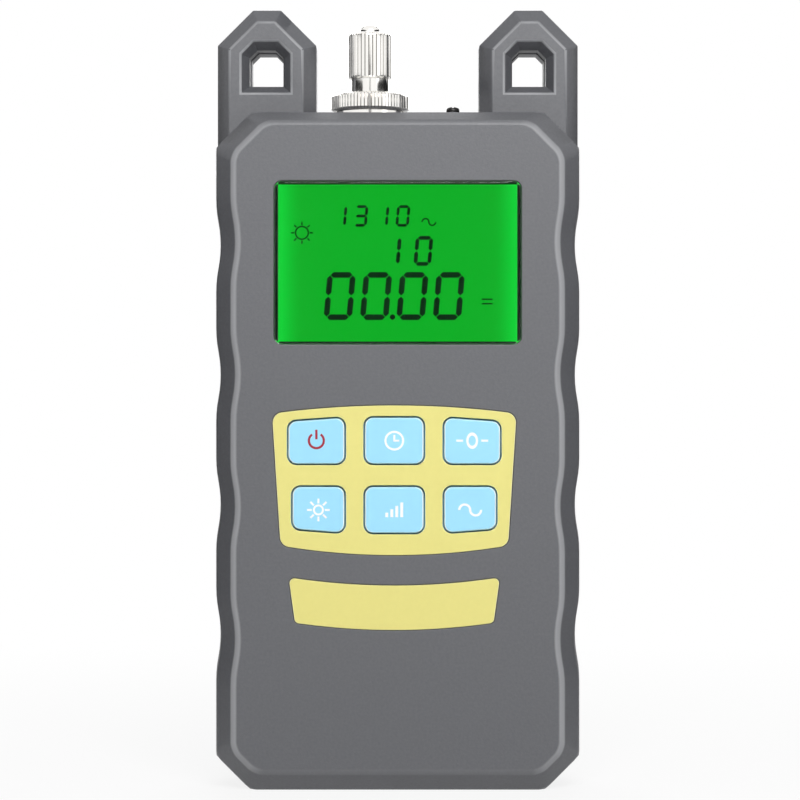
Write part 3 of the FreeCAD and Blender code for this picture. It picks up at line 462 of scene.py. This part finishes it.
def key_abs():
    # Pale blue moulded keys: smooth satin surface, slightly uneven like a small moulding.
    colour = tuple(colours().key)
    material, tree, shader = new_material("moulded_abs_pale_blue", colour, 0.34, ior=1.54)
    position = object_position(tree)
    mottled(tree, shader, colour, 1.6, 0.02, position)
    # Painted highlight along the keys' rounded rims.
    painted_highlight_colour(tree, shader, srgb("#E8F8FF"))
    satin = add(tree, "ShaderNodeTexNoise", {"Scale": 1 / (0.35 * MM)}, {"Vector": position})
    bump(tree, shader, satin.outputs["Fac"], 0.004, 0.3)
    return material


def white_ink():
    # Pad printed white ink: dense and slightly glossy.
    colour = tuple(colours().ink)
    material, tree, shader = new_material("pad_print_white", colour, 0.4, ior=1.5)
    mottled(tree, shader, colour, 0.5, 0.02, object_position(tree))
    return material


def red_ink():
    # Pad printed dark red ink on the power key.
    colour = tuple(colours().power_ink)
    material, tree, shader = new_material("pad_print_red", colour, 0.4, ior=1.5)
    mottled(tree, shader, colour, 0.5, 0.06, object_position(tree))
    return material


def bright_nickel():
    # Turned brass under bright nickel plate: mirror-like, with faint lathe lines round the axis,
    # and painted shade, a darker colour, at the roots of the knurl grooves.
    line_mm = 0.12
    groove_shade_colour = srgb("#837D77")
    colour = tuple(colours().metal)
    material, tree, shader = new_material("nickel_plated_brass", colour, 0.14, metallic=1.0)
    split = add(tree, "ShaderNodeSeparateXYZ", links={"Vector": object_position(tree)})
    lathe = add(tree, "ShaderNodeTexNoise", {"Scale": 1 / (line_mm * MM), "Detail": 2.0},
                {"W": split.outputs["Z"]}, noise_dimensions="1D")
    shine = add(tree, "ShaderNodeMapRange", {"To Min": 0.08, "To Max": 0.2},
                {"Value": lathe.outputs["Fac"]})
    tree.links.new(shine.outputs["Result"], shader.inputs["Roughness"])
    bump(tree, shader, lathe.outputs["Fac"], 0.002, 0.25)
    # Painted shade: a darker colour at the knurl groove roots.
    groove = add(tree, "ShaderNodeAttribute", attribute_name=GROOVE_SHADE)
    mix = add(tree, "ShaderNodeMix", {"A": colour, "B": groove_shade_colour},
              {"Factor": groove.outputs["Fac"]}, data_type="RGBA")
    tree.links.new(mix.outputs["Result"], shader.inputs["Base Color"])
    return material


def blackened_steel():
    # Small screw in oil-blackened steel: dark, half gloss, with a worn sheen.
    colour = srgb("#2B2A2A")
    material, tree, shader = new_material("oil_blackened_steel", colour, 0.32, metallic=1.0)
    mottled(tree, shader, colour, 0.5, 0.25, object_position(tree))
    return material


def zinc_plate():
    # Bright zinc plate on pressed and turned steel: pale blue-grey, finely brushed.
    colour = srgb("#C9CCD0")
    material, tree, shader = new_material("zinc_plated_steel", colour, 0.28, metallic=1.0)
    position = object_position(tree)
    mottled(tree, shader, colour, 0.7, 0.1, position)
    brush = add(tree, "ShaderNodeTexNoise", {"Scale": 1 / (0.15 * MM), "Detail": 2.0},
                {"Vector": position})
    bump(tree, shader, brush.outputs["Fac"], 0.002, 0.3)
    return material


def nickel_strip():
    # Rolled spring steel with a thin nickel plate, as battery contacts have.
    colour = srgb("#D8D5CC")
    material, tree, shader = new_material("nickel_plated_strip", colour, 0.25, metallic=1.0)
    stretch = add(tree, "ShaderNodeMapping", {"Scale": (1.0, 1.0, 0.08)},
                  {"Vector": object_position(tree)})
    rolled = add(tree, "ShaderNodeTexNoise", {"Scale": 1 / (0.1 * MM)},
                 {"Vector": stretch.outputs["Vector"]})
    bump(tree, shader, rolled.outputs["Fac"], 0.002, 0.4)
    return material


def solder_mask():
    # Glass-epoxy board under green solder mask: glossy, with the weave just showing.
    weave_mm = 0.5
    colour = srgb("#14502A")
    material, tree, shader = new_material("solder_mask_green", colour, 0.3, ior=1.5)
    position = object_position(tree)
    mottled(tree, shader, colour, 3.0, 0.15, position)
    weave = add(tree, "ShaderNodeTexWave", {"Scale": 1 / (weave_mm * MM) / math.tau},
                {"Vector": position}, bands_direction="DIAGONAL")
    bump(tree, shader, weave.outputs["Fac"], 0.006, 0.3)
    return material


def moulded_epoxy():
    # Transfer moulded epoxy of a chip package: charcoal, matt and gritty.
    colour = srgb("#1B1C1E")
    material, tree, shader = new_material("moulded_epoxy_black", colour, 0.6, ior=1.55)
    position = object_position(tree)
    mottled(tree, shader, colour, 0.3, 0.2, position)
    grit = add(tree, "ShaderNodeTexNoise", {"Scale": 1 / (0.1 * MM)}, {"Vector": position})
    bump(tree, shader, grit.outputs["Fac"], 0.006, 0.5)
    return material


def cell_jacket():
    # Printed foil jacket of a dry cell: dark satin blue-grey under a thin clear coat.
    colour = srgb("#2E3A4A")
    material, tree, shader = new_material("shrink_foil_jacket", colour, 0.3, ior=1.57,
                                          Coat_Weight=0.4)
    mottled(tree, shader, colour, 4.0, 0.08, object_position(tree))
    return material


def ground_zirconia():
    # Ground zirconia ceramic: warm white, very smooth.
    colour = srgb("#F1EFE8")
    material, tree, shader = new_material("ground_zirconia", colour, 0.15, ior=2.1)
    mottled(tree, shader, colour, 0.4, 0.02, object_position(tree))
    return material


# ---- case --------------------------------------------------------------------------------------
def soft_front_shell():
    """Front half of the case with rounded bevels and openings."""
    low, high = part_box("front_shell")
    bm = merged_copy("front_shell")
    lens_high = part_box("display_window")[1]
    label_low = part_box("label_plate")[0]
    plate_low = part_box("keypad_plate")[0]
    margin = 1 * MM                 # round the openings, to tell their rims from the outline
    opening_side = max(abs(plate_low.x), lens_high.x) + margin
    bevel_y = low.y + BEVEL_DEPTH

    def in_openings(point):
        return abs(point.x) < opening_side and label_low.z - margin < point.z < lens_high.z + margin

    def face_outline(a, b):
        return near(a.y, low.y) and near(b.y, low.y) and not in_openings(a)

    def ridges(a, b):
        front, back = sorted((a, b), key=lambda point: point.y)
        return near(front.y, low.y) and near(back.y, bevel_y) and not in_openings(a)

    def mouths(a, b):
        return near(a.y, low.y) and near(b.y, low.y) and in_openings(a)

    def shoulder(a, b):
        return near(a.y, bevel_y) and near(b.y, bevel_y) and on_outer_side(a, b, low, high)

    soften(bm, sizes().case_ridge, ridges, segments=6, rim=0.0)
    soften(bm, sizes().case_edge, face_outline)
    soften(bm, sizes().shoulder_edge, shoulder, sharper_than=15.0, rim=0.0)
    soften(bm, sizes().mouth_edge, mouths, sharper_than=50.0, segments=2, rim=0.0)
    piece = finish_mesh(bm, "case_front_moulding")
    place(piece, "case", "case_plastic", finish(moulded_abs), "front_shell")


def on_outer_side(a, b, low, high):
    """Whether a shoulder edge is on the outer sides or foot, below the case's top corners."""
    half = max(abs(low.x), abs(high.x))
    inset = 2.2 * MM                # the side's hollows are shallower than this
    slack = 0.1 * MM
    outer = abs(a.x) > half - inset or a.z < low.z + slack \
        or abs(a.x) - a.z > half - CORNER_CUT - inset
    return outer and max(a.z, b.z) < PANEL_Z - CORNER_CUT + slack


def screw_axes():
    """(x, z) of the four case screws."""
    low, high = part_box("case_screws")
    head_reach = 2.41 * MM          # half the width across a head's faces
    return [(x, z) for x in (low.x + head_reach, high.x - head_reach)
            for z in (low.z + head_reach, high.z - head_reach)]


def soft_rear_shell():
    """Rear half of the case with its ears."""
    low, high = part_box("rear_shell")
    bm = merged_copy("rear_shell")
    seam_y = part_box("front_shell")[1].y
    bevel_y = high.y - BEVEL_DEPTH
    ear_foot = PANEL_Z + 0.2 * MM
    well_reach = 3.6 * MM
    door_side, door_foot = 30 * MM, 6 * MM      # the battery door and its recess lie inside these
    top_band = PANEL_Z - 9 * MM                 # the back face has only its outline above this

    def ear_face(a, b):
        return min(a.z, b.z) > PANEL_Z - CORNER_CUT and near(a.y, seam_y) and near(b.y, seam_y) \
            and max(a.z, b.z) > ear_foot

    def ear_sides(a, b):
        return min(a.z, b.z) > ear_foot and not ear_face(a, b)

    def in_screw_well(point):
        return any(math.hypot(point.x - x, point.z - z) < well_reach for x, z in screw_axes())

    def back_outline(a, b):
        outer = abs(a.x) > door_side or a.z > top_band or a.z < door_foot
        return near(a.y, high.y) and near(b.y, high.y) and outer and not in_screw_well(a)

    def shoulder(a, b):
        return near(a.y, bevel_y) and near(b.y, bevel_y) and on_outer_side(a, b, low, high)

    soften(bm, sizes().ear_edge, ear_face)
    soften(bm, sizes().mouth_edge, ear_sides, segments=3, rim=0.0)
    soften(bm, sizes().mouth_edge, back_outline, segments=2, rim=0.0)
    soften(bm, sizes().shoulder_edge, shoulder, sharper_than=15.0, rim=0.0)
    piece = finish_mesh(bm, "case_rear_moulding")
    place(piece, "case", "case_plastic", finish(moulded_abs), "rear_shell")


class METER_OT_case(Operator):
    """Models the two case mouldings and the battery door."""
    bl_idname = "meter.case"
    bl_label = "Case"

    def execute(self, context):
        soft_front_shell()
        soft_rear_shell()
        back_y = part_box("rear_shell")[1].y
        door = finish_mesh(soft_rimmed("battery_door", sizes().mouth_edge, back_y, 2),
                           "battery_door_moulding")
        place(door, "battery_door", "case_plastic", finish(moulded_abs), "battery_door")
        return {"FINISHED"}


# ---- display -----------------------------------------------------------------------------------
SEGMENTS = {            # a top, b and c right, d bottom, e and f left, g middle
    "0": "abcdef", "1": "bc", "2": "abdeg", "3": "abcdg", "4": "bcfg",
    "5": "acdfg", "6": "acdefg", "7": "abc", "8": "abcdefg", "9": "abcdfg",
}


def segment(bm, x0, z0, x1, z1, stroke):
    """One pointed display segment between two ends."""
    along = Vector((x1 - x0, 0, z1 - z0)).normalized()
    side = Vector((-along.z, 0, along.x)) * stroke / 2
    start, end = Vector((x0, 0, z0)), Vector((x1, 0, z1))
    shoulder = along * stroke / 2
    points = [start, start + shoulder - side, end - shoulder - side, end,
              end - shoulder + side, start + shoulder + side]
    bm.faces.new([bm.verts.new(p) for p in points])


def digit(bm, figure, middle, foot, width, height, stroke, lean):
    """Seven-segment figure that stands on foot, leaning to the right."""
    first = len(bm.verts)
    left, right = -width / 2 + stroke / 2, width / 2 - stroke / 2
    bottom, centre, top = stroke / 2, height / 2, height - stroke / 2
    gap = stroke * 0.09             # half the gap between two segments
    spans = {
        "a": (left + gap, top, right - gap, top), "d": (left + gap, bottom, right - gap, bottom),
        "g": (left + gap, centre, right - gap, centre),
        "b": (right, centre + gap, right, top - gap), "c": (right, bottom + gap, right, centre - gap),
        "f": (left, centre + gap, left, top - gap), "e": (left, bottom + gap, left, centre - gap),
    }
    for name in SEGMENTS[figure]:
        segment(bm, *spans[name], stroke)
    bm.verts.ensure_lookup_table()
    for vert in bm.verts[first:]:
        vert.co.x += middle + vert.co.z * math.tan(lean)
        vert.co.z += foot


def sun(bm, x, z, ring, reach, stroke):
    """Ring with eight rays."""
    arc_band(bm, x, z, ring, stroke)
    ray = reach - ring - stroke
    for index in range(8):
        bar(bm, x, z + reach - ray / 2, stroke, ray, math.tau * index / 8, (x, z))


def wave(bm, x, z, radius, stroke):
    """Two half circles, as a wave."""
    arc_band(bm, x - radius, z, radius, stroke, 0.0, math.pi, 14)
    arc_band(bm, x + radius, z, radius, stroke, math.pi, math.pi, 14)


def display_marks():
    """Figures of the display: a reading, two smaller numbers and simple signs."""
    rows = (            # text, middle of the first figure, pitch, foot, width, height, stroke
        ("1310", -13.0, 4.65, 124.95, 2.95, 4.75, 0.62),
        ("10", -1.6, 7.0, 116.3, 3.9, 6.6, 0.85),
        ("0000", -13.3, 8.05, 104.3, 6.3, 10.6, 1.25),
    )
    point_x, point_z, point_radius = -1.15 * MM, 104.95 * MM, 0.6 * MM
    stroke = 0.3 * MM
    bm = bmesh.new()
    for text, first, pitch, *measures in rows:
        for index, figure in enumerate(text):
            lengths = [value * MM for value in measures]
            digit(bm, figure, (first + pitch * index) * MM, *lengths, FIGURE_LEAN)
    bmesh.ops.create_circle(bm, cap_ends=True, segments=20, radius=point_radius,
                            matrix=Matrix.Translation((point_x, 0, point_z))
                            @ Matrix.Rotation(math.pi / 2, 4, "X"))
    sun(bm, -21.2 * MM, 123.6 * MM, 1.42 * MM, 2.45 * MM, stroke)
    wave(bm, 6.9 * MM, 126.0 * MM, 0.75 * MM, stroke)
    for height in (108.9, 107.9):
        bar(bm, 19.8 * MM, height * MM, 2.4 * MM, stroke)
    return raise_marks(bm, "display_figures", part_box("lcd_glass")[0].y, sizes().figure)


class METER_OT_display(Operator):
    """Models the window and the display's figures, and finishes the display's layers."""
    bl_idname = "meter.display"
    bl_label = "Display"

    def execute(self, context):
        front_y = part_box("display_window")[0].y
        window = finish_mesh(soft_rimmed("display_window", sizes().lens_edge, front_y),
                             "display_lens")
        place(window, "case", "window_clear", finish(clear_acrylic), "display_window")
        place(display_marks(), "case", "display_glass", finish(display_figures))
        dress("lcd_glass", finish(lit_display))
        dress("lcd_frame", finish(black_moulding))
        dress("backlight", finish(green_light_panel))
        return {"FINISHED"}


# ---- keypad ------------------------------------------------------------------------------------
def power_sign(bm, x, z):
    """Open ring with an upright bar."""
    arc_band(bm, x, z, 1.65 * MM, 0.5 * MM, math.radians(125), math.radians(290), 30)
    bar(bm, x, z + 1.35 * MM, 0.5 * MM, 2.1 * MM)


def clock_sign(bm, x, z):
    """Clock face with two hands."""
    arc_band(bm, x, z, 1.95 * MM, 0.46 * MM)
    bar(bm, x, z + 0.55 * MM, 0.44 * MM, 1.4 * MM)
    bar(bm, x + 0.45 * MM, z, 1.3 * MM, 0.44 * MM)


def nought_sign(bm, x, z):
    """Upright oval between two short strokes."""
    arc_band(bm, x, z, 1.05 * MM, 0.5 * MM, tall=1.4)
    for side in (-1, 1):
        bar(bm, x + side * 2.75 * MM, z, 1.5 * MM, 0.48 * MM)


def lamp_sign(bm, x, z):
    """Small lamp with rays."""
    sun(bm, x, z, 1.0 * MM, 2.5 * MM, 0.44 * MM)


def level_sign(bm, x, z):
    """Rising bars of a level meter."""
    for index in range(4):
        height = (1.0 + 0.75 * index) * MM
        bar(bm, x + (index - 1.5) * 1.1 * MM, z - 1.6 * MM + height / 2, 0.62 * MM, height)


def wave_sign(bm, x, z):
    """One wave."""
    wave(bm, x, z, 1.2 * MM, 0.5 * MM)


SIGNS = {
    "power": power_sign, "auto_off": clock_sign, "zero": nought_sign,
    "light": lamp_sign, "db": level_sign, "wavelength": wave_sign,
}


def soft_plate(node, name):
    """Yellow plate with its rims rounded."""
    front_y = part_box(node)[0].y
    piece = finish_mesh(soft_rimmed(node, sizes().plate_edge, front_y, 2), name)
    place(piece, "case", "plate_yellow", finish(printed_polyester), node)


def key_cap(name):
    """One key with its rim rounded and its sign printed on."""
    node = "key_" + name
    low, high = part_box(node)
    cap = finish_mesh(soft_rimmed(node, sizes().key_edge, low.y), node + "_cap")
    place(cap, node, "key_blue", finish(key_abs), node)
    sign = bmesh.new()
    SIGNS[name](sign, (low.x + high.x) / 2, (low.z + high.z) / 2)
    mark = raise_marks(sign, node + "_sign", low.y, sizes().ink)
    place(mark, node, "key_blue", finish(red_ink if name == "power" else white_ink))


class METER_OT_keypad(Operator):
    """Models the keys with their signs and the two yellow plates."""
    bl_idname = "meter.keypad"
    bl_label = "Keypad"

    def execute(self, context):
        soft_plate("keypad_plate", "keypad_overlay")
        soft_plate("label_plate", "label_overlay")
        for name in SIGNS:
            key_cap(name)
            dress("switch_button_" + name, finish(black_moulding))
        dress("key_switches", finish(black_moulding))
        return {"FINISHED"}


# ---- fibre port: (radius, height) profiles in millimetres from the port's foot on the top panel --
def port_foot():
    """Point where the port's axis meets the top panel."""
    low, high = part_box("coupling_ring")
    return Vector(((low.x + high.x) / 2, (low.y + high.y) / 2, PANEL_Z))


def knurled_ring():
    """Coupling ring with a straight knurl and a lip that turns on the neck."""
    radius, shoulder, rim = 8.83, 8.62, 8.2
    bore, lip_bore = 6.55, 4.5
    foot, lip_foot, top = 1.0, 3.85, 4.9
    groove_depth = 0.25
    bm = turned([(bore, foot), (rim, foot), (shoulder, 1.35), (radius, 1.6), (radius, 4.3),
                 (shoulder, 4.55), (rim, top), (lip_bore, top), (lip_bore, lip_foot),
                 (bore, lip_foot)],
                port_foot(), sizes().ring_teeth * KNURL_STEPS, closed=True)
    cut_knurl(bm, port_foot(), sizes().ring_teeth, radius, groove_depth, 1.3, 4.6)
    ring = finish_mesh(bm, "coupling_ring_knurled", 40.0)
    place(ring, "coupling_ring", "port_nickel", finish(bright_nickel), "coupling_ring")


def knurled_cap():
    """Dust cap with a straight knurl, open below and bored for the swivel rivet."""
    radius, bore, rivet_bore = 4.92, 4.15, 0.9
    foot, ceiling, top = 8.4, 17.3, 18.8
    groove_depth = 0.2
    bm = turned([(bore, foot), (4.5, foot), (4.72, 8.65), (radius, 8.9), (radius, 18.0),
                 (4.75, 18.4), (4.4, 18.7), (3.9, top), (rivet_bore, top), (rivet_bore, ceiling),
                 (bore, ceiling)],
                port_foot(), sizes().cap_teeth * KNURL_STEPS, closed=True)
    cut_knurl(bm, port_foot(), sizes().cap_teeth, radius, groove_depth, 8.6, 18.5)
    cap = finish_mesh(bm, "dust_cap_knurled", 40.0)
    place(cap, "dust_cap", "port_nickel", finish(bright_nickel), "dust_cap")


def swivel_rivet():
    """Rivet that the cap turns on: clench inside, shank through its top, head above."""
    shank, cap_ceiling, cap_top, top = 0.8, 17.3, 18.8, 20.55
    bm = turned([(0.0, 16.7), (1.5, 16.7), (1.6, 16.8), (1.6, 17.25), (shank, cap_ceiling),
                 (shank, cap_top), (2.1, cap_top), (2.2, 18.95), (2.2, 19.45), (2.05, 19.8),
                 (1.75, 20.3), (1.5, 20.5), (1.35, top), (0.0, top)], port_foot(), 64)
    rivet = finish_mesh(bm, "swivel_rivet")
    place(rivet, "cap_rivet", "port_nickel", finish(bright_nickel), "cap_rivet")


def tether_fastener():
    """Domed screw with a cross recess and its rounded washer on the top panel."""
    low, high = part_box("tether_washer")
    seat = Vector(((low.x + high.x) / 2, (low.y + high.y) / 2, PANEL_Z))
    shank, washer_top = 0.85, 0.4
    bm = turned([(0.0, -4.6), (shank, -4.6), (shank, 0.42), (1.42, 0.42), (1.48, 0.6),
                 (1.46, 1.05), (1.3, 1.35), (1.0, 1.55), (0.5, 1.64), (0.0, 1.65)], seat, 48)
    press_cross(bm, seat, arm=0.2, reach=1.1, above=1.5, depth=0.45)
    screw = finish_mesh(bm, "tether_screw_domed")
    place(screw, "case", "screw_steel", finish(blackened_steel), "tether_screw")
    bm = turned([(0.95, 0.0), (1.6, 0.0), (1.75, 0.12), (1.75, 0.28), (1.6, washer_top),
                 (0.95, washer_top)], seat, 48, closed=True)
    washer = finish_mesh(bm, "tether_washer_rounded")
    place(washer, "case", "screw_steel", finish(zinc_plate), "tether_washer")


class METER_OT_port(Operator):
    """Models the knurled ring and cap, the swivel rivet and the tether screw."""
    bl_idname = "meter.port"
    bl_label = "Fibre port"

    def execute(self, context):
        knurled_ring()
        knurled_cap()
        swivel_rivet()
        for node in ("fc_adapter", "detector_port", "port_nut", "photodiode"):
            dress(node, finish(bright_nickel))
        dress("ferrule_sleeve", finish(ground_zirconia))
        tether_fastener()
        return {"FINISHED"}


# ---- inside pieces -----------------------------------------------------------------------------
def dry_cell(name):
    """Jacketed cell with rounded ends and a contact nub, all in the jacket's finish."""
    low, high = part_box(name)
    radius = (high.x - low.x) / 2 / MM
    length = (high.z - low.z) / MM
    nub_radius, nub_height = 2.7, 1.2
    shoulder = length - nub_height
    collar = radius - 0.15
    bm = turned([(0.0, 0.3), (radius - 2.2, 0.3), (radius - 1.9, 0.0), (radius - 0.5, 0.0),
                 (radius, 0.5), (radius, shoulder - 1.6), (collar, shoulder - 1.5),
                 (collar, shoulder - 0.4), (radius - 0.6, shoulder), (2.95, shoulder),
                 (nub_radius, shoulder + 0.2), (nub_radius, length - 0.2), (2.5, length),
                 (0.0, length)], Vector((0, 0, 0)), 64)
    if name.endswith("middle"):             # the middle cell lies the other way up
        bmesh.ops.rotate(bm, verts=bm.verts, cent=(0, 0, length * MM / 2),
                         matrix=Matrix.Rotation(math.pi, 3, "X"))
    foot = ((low.x + high.x) / 2, (low.y + high.y) / 2, low.z)
    bmesh.ops.translate(bm, verts=bm.verts, vec=foot)
    cell = finish_mesh(bm, name + "_jacketed")
    place(cell, "case", "cell_sleeve", finish(cell_jacket), name)


def case_fasteners():
    """Four pan head screws with cross recesses, seen at the bottom of their wells."""
    shank, head, head_radius, tip = 1.25, 1.8, 2.5, -11.0
    bm = turned([(0.0, tip), (0.7, tip), (shank, -10.2), (shank, 0.0), (2.35, 0.0),
                 (head_radius, 0.2), (head_radius, 0.9), (2.25, 1.35), (1.9, 1.6), (1.5, 1.72),
                 (1.2, 1.75), (0.8, 1.78), (0.4, 1.79), (0.0, head)], Vector((0, 0, 0)), 48)
    press_cross(bm, Vector((0, 0, 0)), arm=0.28, reach=1.45, above=1.7, depth=0.9)
    backwards = Matrix.Rotation(-math.pi / 2, 3, "X")
    bmesh.ops.rotate(bm, verts=bm.verts, cent=(0, 0, 0), matrix=backwards)
    seat_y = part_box("case_screws")[1].y - head * MM
    first_axis, *other_axes = screw_axes()
    screw = list(bm.verts) + list(bm.edges) + list(bm.faces)
    screw_verts = list(bm.verts)
    for x, z in other_axes:
        copied = bmesh.ops.duplicate(bm, geom=screw)["geom"]
        moved = [item for item in copied if isinstance(item, bmesh.types.BMVert)]
        bmesh.ops.translate(bm, verts=moved, vec=(x, seat_y, z))
    bmesh.ops.translate(bm, verts=screw_verts, vec=(first_axis[0], seat_y, first_axis[1]))
    screws = finish_mesh(bm, "case_screws_recessed")
    place(screws, "case", "screw_steel", finish(zinc_plate), "case_screws")


class METER_OT_inside(Operator):
    """Models the screws and cells, and finishes the boards and contacts."""
    bl_idname = "meter.inside"
    bl_label = "Inside pieces"

    def execute(self, context):
        dress("circuit_board", finish(solder_mask))
        dress("detector_board", finish(solder_mask))
        dress("microcontroller", finish(moulded_epoxy))
        case_fasteners()
        for column in ("left", "middle", "right"):
            dry_cell("battery_cell_" + column)
        dress("contact_plates", finish(nickel_strip))
        dress("leaf_springs", finish(nickel_strip))
        return {"FINISHED"}


# ---- stage -------------------------------------------------------------------------------------
def area_light(name, corner, target, size, power):
    """Soft rectangular lamp aimed at a point."""
    data = bpy.data.lights.new(name, "AREA")
    data.shape = "RECTANGLE"
    data.size, data.size_y = size
    data.energy = power
    lamp = bpy.data.objects.new(name, data)
    lamp.location = corner
    lamp.rotation_euler = (Vector(target) - Vector(corner)).to_track_quat("-Z", "Y").to_euler()
    bpy.context.scene.collection.objects.link(lamp)


def seen_white(tree):
    """1 on the rays of the camera, metal and glass, and 0 on those that light the piece."""
    paths = add(tree, "ShaderNodeLightPath")
    seen = add(tree, "ShaderNodeMath", links={0: paths.outputs["Is Camera Ray"],
                                              1: paths.outputs["Is Glossy Ray"]}, operation="MAXIMUM")
    through = add(tree, "ShaderNodeMath", links={0: seen.outputs["Value"],
                                                 1: paths.outputs["Is Transmission Ray"]},
                  operation="MAXIMUM")
    return through.outputs["Value"]


def studio_white():
    # Matt white paper sweep: seen by the camera, metal and glass as plain white, and a little
    # less so round the piece, where its shadow falls.
    shadow_from, shadow_to = 0.05, 0.35
    material, tree, shader = new_material("white_paper_sweep", srgb("#F4F4F4"), 0.9)
    through = seen_white(tree)
    distance = add(tree, "ShaderNodeVectorMath", links={0: object_position(tree)}, operation="LENGTH")
    share = add(tree, "ShaderNodeMapRange", {"From Min": shadow_from, "From Max": shadow_to,
                                             "To Min": 0.85, "To Max": 1.0},
                {"Value": distance.outputs["Value"]})
    part = add(tree, "ShaderNodeMath", links={0: through, 1: share.outputs["Result"]},
               operation="MULTIPLY")
    white = add(tree, "ShaderNodeEmission", {"Color": (1, 1, 1, 1), "Strength": 1.0})
    mix = add(tree, "ShaderNodeMixShader", links={0: part.outputs["Value"],
                                                  1: shader.outputs["BSDF"],
                                                  2: white.outputs["Emission"]})
    tree.links.new(mix.outputs["Shader"], tree.nodes["Material Output"].inputs["Surface"])
    return material


def studio_world():
    """White to the camera, metal and glass; a plain soft grey as light."""
    world = bpy.data.worlds.new("studio")
    bpy.context.scene.world = world
    world.use_nodes = True
    tree = world.node_tree
    plain = add(tree, "ShaderNodeBackground", {"Color": (1, 1, 1, 1), "Strength": 0.04})
    white = add(tree, "ShaderNodeBackground", {"Color": (1, 1, 1, 1), "Strength": 1.0})
    mix = add(tree, "ShaderNodeMixShader", links={0: seen_white(tree),
                                                  1: plain.outputs["Background"],
                                                  2: white.outputs["Background"]})
    tree.links.new(mix.outputs["Shader"], tree.nodes["World Output"].inputs["Surface"])


def black_flock():
    # Black flocked card that studio work puts beside metal: it shows only as a dark reflection.
    return new_material("black_flocked_card", srgb("#050505"), 0.95)[0]


def paper_floor():
    """Large paper sweep under the piece."""
    bm = bmesh.new()
    bmesh.ops.create_grid(bm, x_segments=2, y_segments=2, size=40.0)
    floor = finish_mesh(bm, "floor")
    floor.data.materials.append(finish(studio_white))


def dark_card(name, middle, facing, width, height):
    """Card that only reflections see."""
    bm = bmesh.new()
    bmesh.ops.create_grid(bm, x_segments=1, y_segments=1, size=0.5)
    turn = (Vector(facing) - Vector(middle)).to_track_quat("Z", "Y").to_matrix().to_4x4()
    bmesh.ops.transform(bm, verts=bm.verts, matrix=Matrix.Translation(middle) @ turn
                        @ Matrix.Diagonal((width, height, 1, 1)))
    card = finish_mesh(bm, name)
    card.data.materials.append(finish(black_flock))
    card.visible_camera = card.visible_diffuse = card.visible_shadow = False


def dark_cards(middle):
    """Cards that darken the window, the side bevels and the edges of the port's metal."""
    port = port_foot()
    beside_port = 0.018
    dark_card("lens_card", (0.0, -1.0, 0.182), (0.0, 0.0, 0.182), 0.15, 0.204)
    for side, name in ((-1, "left"), (1, "right")):
        dark_card(name + "_bevel_card", (side * 0.13, 0.01, 0.079), (0.0, 0.01, 0.079), 0.18, 0.158)
        for part, height, tall in (("neck", 0.0086, 0.0032), ("rivet", 0.0245, 0.0065)):
            y, z = port.y + 0.005, port.z + height
            dark_card(name + "_" + part + "_card", (port.x + side * beside_port, y, z),
                      (port.x, y, z), 0.05, tall)
    dark_card("left_card", (-0.34, 0.55, 0.2), middle, 0.26, 1.0)
    dark_card("right_card", (0.34, 0.55, 0.2), middle, 0.26, 1.0)


def front_camera(scene):
    """Camera square to the front, a little over half a metre away."""
    distance, view_width = 0.595, 0.1811
    data = bpy.data.cameras.new("front_camera")
    data.sensor_width = 36.0
    data.lens = data.sensor_width * distance / view_width
    data.clip_start = 0.01
    camera = bpy.data.objects.new("front_camera", data)
    camera.location = (0.00051, -distance, 0.0866)
    camera.rotation_euler = (math.pi / 2, 0, 0)
    scene.collection.objects.link(camera)
    scene.camera = camera


class METER_OT_stage(Operator):
    """Sets up the floor, lamps, surroundings and camera."""
    bl_idname = "meter.stage"
    bl_label = "Stage"

    def execute(self, context):
        middle = (0.0, 0.0, 0.09)
        paper_floor()
        area_light("front_softbox", (0.06, -0.52, 0.44), middle, (0.4, 0.2), 3.4)
        area_light("right_softbox", (0.6, -0.5, 0.3), middle, (0.2, 0.4), 0.3)
        area_light("back_softbox", (0.0, 0.8, 0.5), middle, (0.9, 0.6), 6.0)
        dark_cards(middle)
        studio_world()
        front_camera(context.scene)
        context.scene.view_settings.view_transform = "Standard"
        return {"FINISHED"}


# ---- add-on ------------------------------------------------------------------------------------
class METER_PT_panel(Panel):
    """Lists the meter's operators, sizes and colours."""
    bl_idname = "METER_PT_panel"
    bl_label = "Optical power meter"
    bl_space_type = "VIEW_3D"
    bl_region_type = "UI"
    bl_category = "Meter"

    def draw(self, context):
        for operator in OPERATORS:
            self.layout.operator(operator.bl_idname)
        for group in (context.scene.meter_sizes, context.scene.meter_colours):
            for key in group.__annotations__:
                self.layout.prop(group, key)


OPERATORS = (METER_OT_case, METER_OT_display, METER_OT_keypad, METER_OT_port, METER_OT_inside,
             METER_OT_stage)
CLASSES = (MeterSizes, MeterColours) + OPERATORS + (METER_PT_panel,)


def register():
    """Registers the classes and their settings."""
    for item in CLASSES:
        bpy.utils.register_class(item)
    bpy.types.Scene.meter_sizes = PointerProperty(type=MeterSizes)
    bpy.types.Scene.meter_colours = PointerProperty(type=MeterColours)


def unregister():
    """Takes the classes and their settings away."""
    del bpy.types.Scene.meter_colours
    del bpy.types.Scene.meter_sizes
    for item in reversed(CLASSES):
        bpy.utils.unregister_class(item)


def main():
    """Runs every operator in order."""
    register()
    bpy.ops.meter.case()
    bpy.ops.meter.display()
    bpy.ops.meter.keypad()
    bpy.ops.meter.port()
    bpy.ops.meter.inside()
    bpy.ops.meter.stage()


if __name__ == "__main__":
    main()
